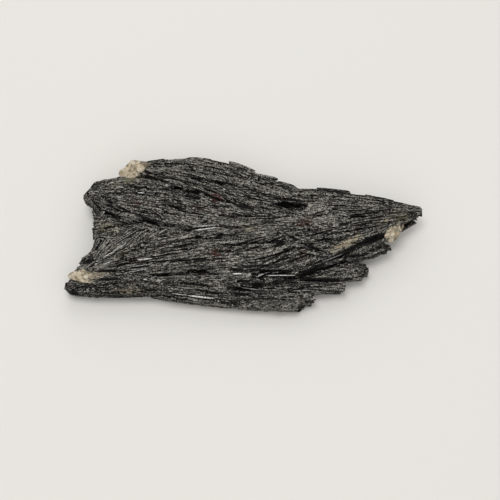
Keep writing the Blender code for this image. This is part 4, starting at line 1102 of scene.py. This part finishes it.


# Clefts between blades, painted black as the shadow in them: start, end and width in millimetres.
clefts = [
    ((-29.6, 19.5), (-24.8, 16.7), 0.57), ((-25.4, 16.7), (-16.9, 14.8), 0.52),
    ((-17.8, 15.3), (-13.6, 12.6), 0.60), ((-14.2, 12.7), (-7.4, 9.9), 0.60),
    ((-8.0, 10.1), (-4.9, 8.6), 0.62), ((-31.8, 13.5), (-24.2, 12.1), 0.71),
    ((-24.5, 13.0), (-17.5, 11.5), 0.31), ((-15.6, 12.3), (-10.5, 11.0), 0.64),
    ((-38.5, 9.5), (-35.7, 7.7), 0.71), ((-36.0, 8.0), (-30.7, 5.2), 0.39),
    ((-31.0, 5.5), (-22.8, 1.8), 0.84), ((-41.3, 8.3), (-39.1, 6.3), 0.45),
    ((-39.1, 6.5), (-35.2, 5.0), 0.45), ((-39.4, 1.6), (-35.2, 2.0), 0.57),
    ((-35.7, 2.5), (-26.5, 3.1), 0.36), ((-15.3, 20.8), (-13.3, 18.4), 0.66),
    ((-19.2, 17.2), (-8.0, 15.4), 0.34), ((-9.1, 15.8), (-0.7, 13.9), 0.42),
    ((-11.9, 12.5), (6.0, 12.9), 0.31), ((-10.0, 18.9), (-0.2, 16.6), 0.28),
    ((-5.5, 10.2), (-1.8, 7.5), 0.41), ((-2.4, 7.8), (4.3, 6.3), 0.90),
    ((-9.1, 7.4), (-1.8, 7.0), 0.50), ((-14.2, 6.3), (-6.9, 7.9), 0.31),
    ((-3.5, 4.3), (3.5, 4.8), 0.41), ((-22.6, 9.0), (-14.2, 5.1), 0.32),
    ((-24.5, 7.8), (-18.1, 3.9), 0.31), ((-25.4, 6.2), (-20.6, 2.4), 0.31),
    ((-7.2, 1.6), (-2.1, 0.7), 0.32), ((-11.9, 2.0), (-8.8, 3.0), 0.39),
    ((-31.5, 0.3), (-25.9, 1.1), 0.36), ((-34.9, -3.1), (-27.6, 1.4), 0.31),
    ((-38.5, -3.4), (-31.5, -0.5), 0.25), ((-38.2, -8.2), (-29.3, -2.4), 0.28),
    ((-44.7, -8.2), (-40.5, -7.9), 1.16), ((-34.9, -9.6), (-27.6, -8.8), 0.42),
    ((-28.7, -9.0), (-9.7, -8.0), 0.31), ((-31.5, -10.8), (-24.8, -9.9), 0.39),
    ((-41.0, -11.4), (-33.5, -11.2), 0.56), ((-34.0, -11.1), (-25.4, -12.0), 0.31),
    ((-27.3, -12.7), (-14.2, -11.5), 0.34), ((-15.3, -11.1), (-6.6, -11.2), 0.31),
    ((-23.1, -5.3), (-11.3, -3.4), 0.28), ((-18.6, -4.5), (-10.5, -2.7), 0.25),
    ((-7.4, -2.0), (-4.9, -0.8), 0.76), ((-4.1, -4.9), (8.8, -1.2), 0.45),
    ((-7.7, -3.9), (0.7, -4.2), 0.31), ((-12.8, -8.4), (-4.6, -7.8), 0.31),
    ((-3.8, -11.0), (1.5, -11.3), 0.71), ((1.0, -10.4), (8.3, -10.1), 0.62),
    ((-4.6, -15.7), (3.5, -15.9), 0.57), ((-3.0, -17.0), (3.2, -17.9), 0.64),
    ((-17.5, -14.5), (-6.9, -15.5), 0.39), ((-14.2, -16.0), (-4.1, -17.5), 0.45),
    ((-49.2, -16.2), (-44.4, -17.1), 0.66), ((-40.5, -13.9), (-33.8, -13.7), 0.31),
    ((2.4, -14.7), (6.3, -14.8), 1.09), ((7.7, 10.1), (18.1, 9.3), 0.64),
    ((8.3, 8.5), (18.9, 8.2), 0.84), ((-0.2, 10.9), (6.6, 10.7), 0.35),
    ((4.9, 6.1), (14.7, 6.9), 0.32), ((3.5, 2.0), (13.3, 2.9), 0.39),
    ((6.0, 3.5), (14.4, 4.3), 0.31), ((18.1, 4.0), (24.2, 6.1), 0.39),
    ((30.1, 4.4), (34.6, 4.9), 0.71), ((33.5, 4.9), (40.7, 6.1), 0.42),
    ((31.2, 5.5), (39.1, 8.0), 0.31), ((16.4, -2.3), (28.4, 0.9), 0.31),
    ((26.7, 1.1), (31.2, 2.3), 0.84), ((16.1, -3.2), (18.9, -4.8), 0.45),
    ((18.3, -4.7), (24.8, -6.6), 0.39), ((-0.2, -6.1), (6.6, -3.9), 0.36),
    ((5.5, -4.0), (14.4, -0.8), 0.36), ((-0.2, -4.3), (11.1, -1.4), 0.28),
    ((4.6, -10.3), (16.1, -3.8), 0.39), ((6.0, -11.3), (16.7, -5.0), 0.25),
    ((8.3, -11.5), (20.6, -6.0), 0.28), ((15.5, -13.1), (23.9, -8.9), 0.71),
    ((23.4, -9.0), (32.6, -3.9), 0.84), ((32.1, -4.2), (39.9, -0.5), 0.97),
    ((0.1, -11.1), (17.2, -11.8), 0.50), ((4.1, -12.5), (16.1, -12.9), 0.77),
    ((15.5, -13.1), (29.5, -13.2), 0.77), ((27.3, -7.6), (35.4, -6.0), 0.39),
    ((22.8, 15.0), (31.8, 13.7), 0.57), ((11.6, -0.8), (16.9, -3.2), 0.50),
    ((27.9, -13.2), (31.2, -12.6), 0.41), ((16.7, -14.3), (27.3, -14.6), 0.25),
    ((31.2, -4.0), (35.1, -3.2), 0.67), ((26.7, -6.1), (32.3, -5.2), 0.35),
]
# The half length and half width of their ellipses as shares of the length and width, the height of
# their middle and half their depth, how rough their edges are, and the colour of their painted
# shadow.
cleftLook = {"longer": 0.55, "wider": 0.85, "height": 8.0, "depth": 7, "rough": 0.9,
             "colour": (0.003, 0.003, 0.003)}


# Paints the shadow in the clefts over a colour in black: each is a long ellipse, 1 less the scaled
# distance from its middle, and the jitter roughens its edge.
def paintCleftShadows(tree, colour, jitter, showing):
    look = cleftLook
    place = addNode(tree, "ShaderNodeTexCoord")
    nearest = 0.0
    for start, finish, wide in clefts:
        start, finish = np.array(start), np.array(finish)
        run = finish - start
        turn = np.arctan2(run[1], run[0])
        half = (np.linalg.norm(run) * look["longer"], wide * look["wider"], look["depth"])
        middle = (*(start + finish) / 2, look["height"])
        if touched(showing, middle, half, turn):
            far = ellipsoid(tree, place, middle, half, turn)
            nearest = sums(tree, "MAXIMUM", sums(tree, "SUBTRACT", 1.0, far), nearest)
    rough = sway(tree, nearest, jitter, look["rough"])
    line = sums(tree, "MULTIPLY", rough, 3.5, True)
    line = sums(tree, "MULTIPLY", line, sums(tree, "MULTIPLY", nearest, 12.0, True))
    return blendColours(tree, sums(tree, "MULTIPLY", line, 0.96), colour, look["colour"])


# Patterns on the blades: marks per millimetre along and across them, and a noise's detail.
bladePatterns = {"streak": (0.35, 4.2, 2), "dash": (0.30, 3.0, 2), "mottle": (2.4, 3.2, 1),
                 "fissures": ((0.11, 1.0, 2), (0.32, 1.9, 2)), "grain": (1.7, 2.9),
                 "speckle": (2.2, 3.0)}
# "shades" are the blades' greys from dark to light, as (place, value), and "warmth" tints them.
# "light" is the shade of a plain place, and "deep" how much the painted shade in the grooves takes
# from it. The next six are how much each pattern changes it, "crackShade" being the painted shade
# in the cracks; "crackThin" makes the cracks thin, and "sparkle" paints glints on the grains whose
# random number is above "sparkleFrom". "paintedGlint" is the colour of the painted highlight on
# blades that gleam, where the mottle is above "gleamFrom", and "paintedGlintMost" its most. The
# rest is for gloss and bump.
kyaniteLook = {"shades": ((0.0, 0.0025), (0.16, 0.018), (0.34, 0.052), (0.66, 0.115), (1.0, 0.40)),
               "warmth": (1.0, 0.96, 0.85), "light": 0.77, "deep": 1.2, "streak": 0.7,
               "dash": 0.7, "mottle": 2.4, "grain": 0.45, "blade": 0.30, "crackShade": 1.0,
               "crackThin": 25.0, "sparkle": 0.9, "sparkleFrom": 0.93,
               "paintedGlint": (0.85, 0.85, 0.82), "paintedGlintMost": 0.85, "gleamFrom": 0.30,
               "roughness": (0.22, 0.56), "polish": 0.3, "refraction": 1.2, "facetTilt": 0.8,
               "bumpStrength": 0.8, "bump": 0.00012}


# Thin cracks, where either of two slow noises crosses its middle, for the painted shade in them
# and a bump: 1 less the distance from 0.5 times the thinness.
def bladeCracks(tree):
    crackShade = 0.0
    for fissure in bladePatterns["fissures"]:
        away = sums(tree, "SUBTRACT", flowNoise(tree, *fissure), 0.5)
        away = sums(tree, "ABSOLUTE", away, 0.0)
        away = sums(tree, "MULTIPLY", away, kyaniteLook["crackThin"])
        crackShade = sums(tree, "MAXIMUM", sums(tree, "SUBTRACT", 1.0, away, True), crackShade)
    return crackShade


# Surface directions of the grains, each facing its own way but for those that gleam, with
# streaks and cracks as bump: direction = face's own + tilt times (the grain's colour - 0.5).
def bladeFacing(tree, shader, grainColour, gleam, height):
    look = kyaniteLook
    face = addNode(tree, "ShaderNodeNewGeometry")
    tilt = addNode(tree, "ShaderNodeVectorMath", operation="SUBTRACT")
    tilt.inputs[1].default_value = (0.5, 0.5, 0.5)
    tree.links.new(grainColour, tilt.inputs[0])
    size = addNode(tree, "ShaderNodeVectorMath", operation="SCALE")
    flatter = sums(tree, "MULTIPLY", sums(tree, "SUBTRACT", 1.0, gleam), look["facetTilt"])
    tree.links.new(flatter, size.inputs["Scale"])
    total = addNode(tree, "ShaderNodeVectorMath", operation="ADD")
    even = addNode(tree, "ShaderNodeVectorMath", operation="NORMALIZE")
    bump = addNode(tree, "ShaderNodeBump", {"Strength": look["bumpStrength"],
                                             "Distance": look["bump"]})
    tree.links.new(height, bump.inputs["Height"])
    join(tree, (tilt, "Vector", size, "Vector"), (size, "Vector", total, 0),
         (face, "Normal", total, 1), (total, "Vector", even, "Vector"),
         (even, "Vector", bump, "Normal"), (bump, "Normal", shader, "Normal"))


# Dark blades: fine streaks along them, thin cracks in painted shade, grains that each face their
# own way, painted darker towards the grooves as shade, one shade lighter or darker from blade to
# blade, painted glints on some grains and a painted highlight on blades that gleam. Shade = light
# - the painted shade of the grooves + each pattern's distance from its middle times its weight -
# the cracks' painted shade + the painted glints.
def kyaniteMaterial(title, showing):
    look = kyaniteLook
    made = bpy.data.materials.new("blackKyanite_" + title)
    made.use_nodes = True
    tree = made.node_tree
    shader = tree.nodes["Principled BSDF"]
    streak, dash, mottle = (flowNoise(tree, *bladePatterns[name])
                            for name in ("streak", "dash", "mottle"))
    grainColour, grain = flowGrains(tree, *bladePatterns["grain"])
    speckle = flowGrains(tree, *bladePatterns["speckle"])[1]["Red"]
    tone, deep, gleam = (pointNumber(tree, name) for name in ("tone", "deep", "gleam"))
    shade = sums(tree, "SUBTRACT", look["light"], sums(tree, "MULTIPLY", deep, look["deep"]))
    for pattern, weight in ((streak, "streak"), (dash, "dash"), (mottle, "mottle"),
                            (grain["Red"], "grain"), (tone, "blade")):
        shade = sway(tree, shade, pattern, look[weight])
    crackShade = bladeCracks(tree)
    shade = sums(tree, "SUBTRACT", shade, sums(tree, "MULTIPLY", crackShade, look["crackShade"]))
    sparkle = above(tree, grain["Blue"], look["sparkleFrom"], 30.0)
    sparkle = sums(tree, "MULTIPLY", sparkle, sums(tree, "SUBTRACT", 1.0, deep))
    shade = sums(tree, "ADD", shade, sums(tree, "MULTIPLY", sparkle, look["sparkle"]))
    ramp = addNode(tree, "ShaderNodeValToRGB")
    stops = ramp.color_ramp.elements
    for number, (place, value) in enumerate(look["shades"]):
        stop = stops[number] if number < 2 else stops.new(place)
        stop.position = place
        stop.color = (*(value * share for share in look["warmth"]), 1)
    tree.links.new(shade, ramp.inputs["Fac"])
    colour = addStains(tree, ramp.outputs["Color"], speckle, showing)
    colour = paintCleftShadows(tree, colour, streak, showing)
    # A painted highlight, in a pale colour, on the blades that gleam.
    paintedHighlight = sums(tree, "MULTIPLY", gleam, above(tree, mottle, look["gleamFrom"], 6.0))
    paintedHighlight = sums(tree, "MULTIPLY", paintedHighlight, look["paintedGlintMost"])
    colour = blendColours(tree, paintedHighlight, colour, look["paintedGlint"])
    tree.links.new(colour, shader.inputs["Base Color"])
    smooth, rough = look["roughness"]
    gloss = addNode(tree, "ShaderNodeMapRange", {"From Min": 0.15, "From Max": 0.85,
                                                 "To Min": smooth, "To Max": rough})
    tree.links.new(grain["Green"], gloss.inputs["Value"])
    gloss = sums(tree, "SUBTRACT", gloss.outputs["Result"],
                 sums(tree, "MULTIPLY", gleam, look["polish"]), True)
    tree.links.new(gloss, shader.inputs["Roughness"])
    shader.inputs["IOR"].default_value = look["refraction"]
    height = sums(tree, "ADD", streak, sums(tree, "MULTIPLY", mottle, 1.5))
    height = sums(tree, "SUBTRACT", height, sums(tree, "MULTIPLY", crackShade, 0.7))
    bladeFacing(tree, shader, grainColour, gleam, height)
    return made


# Pale mineral: cream and tan by grain, grey-green in places, with painted shade in the hollows,
# finely pitted.
# Each colour is laid over the last by a noise or a point's number above a start.
def crustMaterial():
    look = crustLook
    made = bpy.data.materials.new("paleMatrix")
    made.use_nodes = True
    tree = made.node_tree
    shader = tree.nodes["Principled BSDF"]
    place = addNode(tree, "ShaderNodeTexCoord")
    coarse = addNode(tree, "ShaderNodeTexNoise", {"Scale": look["coarse"], "Detail": 3.0,
                                                  "Roughness": 0.65})
    fine = addNode(tree, "ShaderNodeTexNoise", {"Scale": look["fine"], "Detail": 3.0,
                                                "Roughness": 0.7})
    join(tree, (place, "Object", coarse, "Vector"), (place, "Object", fine, "Vector"))
    coarse, fine = coarse.outputs["Fac"], fine.outputs["Fac"]
    tone, deep = pointNumber(tree, "tone"), pointNumber(tree, "deep")
    colour = blendColours(tree, sums(tree, "POWER", tone, 1.1), look["cream"], look["tan"])
    colour = blendColours(tree, above(tree, coarse, 0.50, 5.0), colour, look["rose"])
    colour = blendColours(tree, above(tree, coarse, 0.40, 7.0), look["grey"], colour)
    # Painted shade in the hollows between grains and where the blades bury it.
    colour = blendColours(tree, above(tree, deep, 0.35, 1.1), colour, look["crackShade"])
    pits = sums(tree, "ADD", sums(tree, "MULTIPLY", fine, 2.4), -0.25, True)
    colour = blendColours(tree, 1.0, colour, pits, "MULTIPLY")
    specks = sums(tree, "MAXIMUM", above(tree, fine, 0.60, 8.0), above(tree, tone, 0.985, 60.0))
    colour = blendColours(tree, specks, colour, look["black"])
    tree.links.new(colour, shader.inputs["Base Color"])
    shader.inputs["Roughness"].default_value = look["roughness"]
    bump = addNode(tree, "ShaderNodeBump", {"Strength": 0.9, "Distance": look["bump"]})
    tree.links.new(fine, bump.inputs["Height"])
    join(tree, (bump, "Normal", shader, "Normal"))
    return made


# Makes a heap a piece of the fan, in a material with only the marks that touch it.
def fanPiece(heap, title):
    material = kyaniteMaterial(title, heap.showing())
    return heap.piece("fan_" + title, material, "black_kyanite", "kyanite_fan")


allPieces = []
for number, (title, sheaf) in enumerate(sheaves.items()):
    chance = np.random.default_rng(100 + number)
    heap = Heap()
    growBody(heap, sheaf, chance)
    chosen = chooseLanes(sheaf, chance)
    laid = [shapeBlades(heap, sheaf, chosen, laneLook, laneSection, chance)]
    for kind, look in looseLook.items():
        chosen = chooseLoose(sheaf, kind, chance)
        laid.append(shapeBlades(heap, sheaf, chosen, look, looseSection, chance))
    if "laths" in sheaf:
        chosen = placeLaths(sheaf, chance)
        laid.append(shapeBlades(heap, sheaf, chosen, lathLook, laneSection, chance))
    allPieces.append(fanPiece(heap, title))
    print("sheaf", title, "blades", laid)
for number, (title, plate) in enumerate(plates.items()):
    heap = Heap()
    growPlate(heap, plate, np.random.default_rng(300 + number))
    allPieces.append(fanPiece(heap, title))
    print("plate", title)
heap = Heap()
growSingles(heap, np.random.default_rng(350))
allPieces.append(fanPiece(heap, "bright_blades"))
print("single blades", len(singles))
paleMatrix = crustMaterial()
for title, crust in crusts.items():
    allPieces.append(growCrust(title, crust, paleMatrix))
    print("crust", title)
print("triangles in all", sum(2 * len(made.data.polygons) for made in allPieces))


# Sizes and places in metres, light in watts, the lens and its sensor in millimetres.
studio = {"floorSize": 3.0, "floorColour": (0.775, 0.76, 0.725), "air": (1.0, 0.99, 0.97),
          "airStrength": 0.50, "lights": {
              "key": {"place": (0.05, 0.70, 0.55), "size": 0.8, "power": 1.4},
              "top": {"place": (-0.10, 0.06, 0.9), "size": 0.38, "power": 3.3},
              "front": {"place": (0.02, -0.55, 0.55), "size": 0.7, "power": 0.8}}}
camera = {"lens": 85, "sensor": 36, "target": (0.0019, -0.0047, 0.00443), "distance": 0.3336,
          "elevation": 69.3}


# A flat pale table top: a square with its middle under the fan.
def makeTable():
    half = studio["floorSize"] / 2
    mesh = bpy.data.meshes.new("tableTop")
    mesh.from_pydata([(-half, -half, 0), (half, -half, 0), (half, half, 0), (-half, half, 0)],
                     [], [(0, 1, 2, 3)])
    table = bpy.data.objects.new("tableTop", mesh)
    bpy.context.scene.collection.objects.link(table)
    finish = bpy.data.materials.new("palePaper")
    finish.use_nodes = True
    shader = finish.node_tree.nodes["Principled BSDF"]
    shader.inputs["Base Color"].default_value = (*studio["floorColour"], 1)
    shader.inputs["Roughness"].default_value = 0.8
    shader.inputs["Specular IOR Level"].default_value = 0.2
    mesh.materials.append(finish)


# Even light all round, a large soft light from behind, a smaller one from above that casts
# the shadows and a weak one from the front. Each faces the fan, along the line to its middle.
def makeLights():
    air = bpy.data.worlds.new("air")
    air.use_nodes = True
    background = air.node_tree.nodes["Background"]
    background.inputs["Color"].default_value = (*studio["air"], 1)
    background.inputs["Strength"].default_value = studio["airStrength"]
    bpy.context.scene.world = air
    for title, given in studio["lights"].items():
        light = bpy.data.lights.new(title, "AREA")
        light.size = given["size"]
        light.energy = given["power"]
        lamp = bpy.data.objects.new(title, light)
        lamp.location = given["place"]
        lamp.rotation_euler = Vector(given["place"]).to_track_quat("Z", "Y").to_euler()
        bpy.context.scene.collection.objects.link(lamp)


# The camera stands back from its target by the distance, raised by the elevation in degrees:
# place = target + distance times (0, -cos, sin).
def makeCamera():
    lens = bpy.data.cameras.new("camera")
    lens.lens = camera["lens"]
    lens.sensor_width = camera["sensor"]
    lens.clip_start = 0.01
    eye = bpy.data.objects.new("camera", lens)
    bpy.context.scene.collection.objects.link(eye)
    lift = np.radians(camera["elevation"])
    back = Vector((0, -np.cos(lift), np.sin(lift)))
    eye.location = Vector(camera["target"]) + back * camera["distance"]
    eye.rotation_euler = back.to_track_quat("Z", "Y").to_euler()
    bpy.context.scene.camera = eye


makeTable()
makeLights()
makeCamera()
bpy.context.scene.view_settings.view_transform = "Standard"
print("table, lights and camera placed")
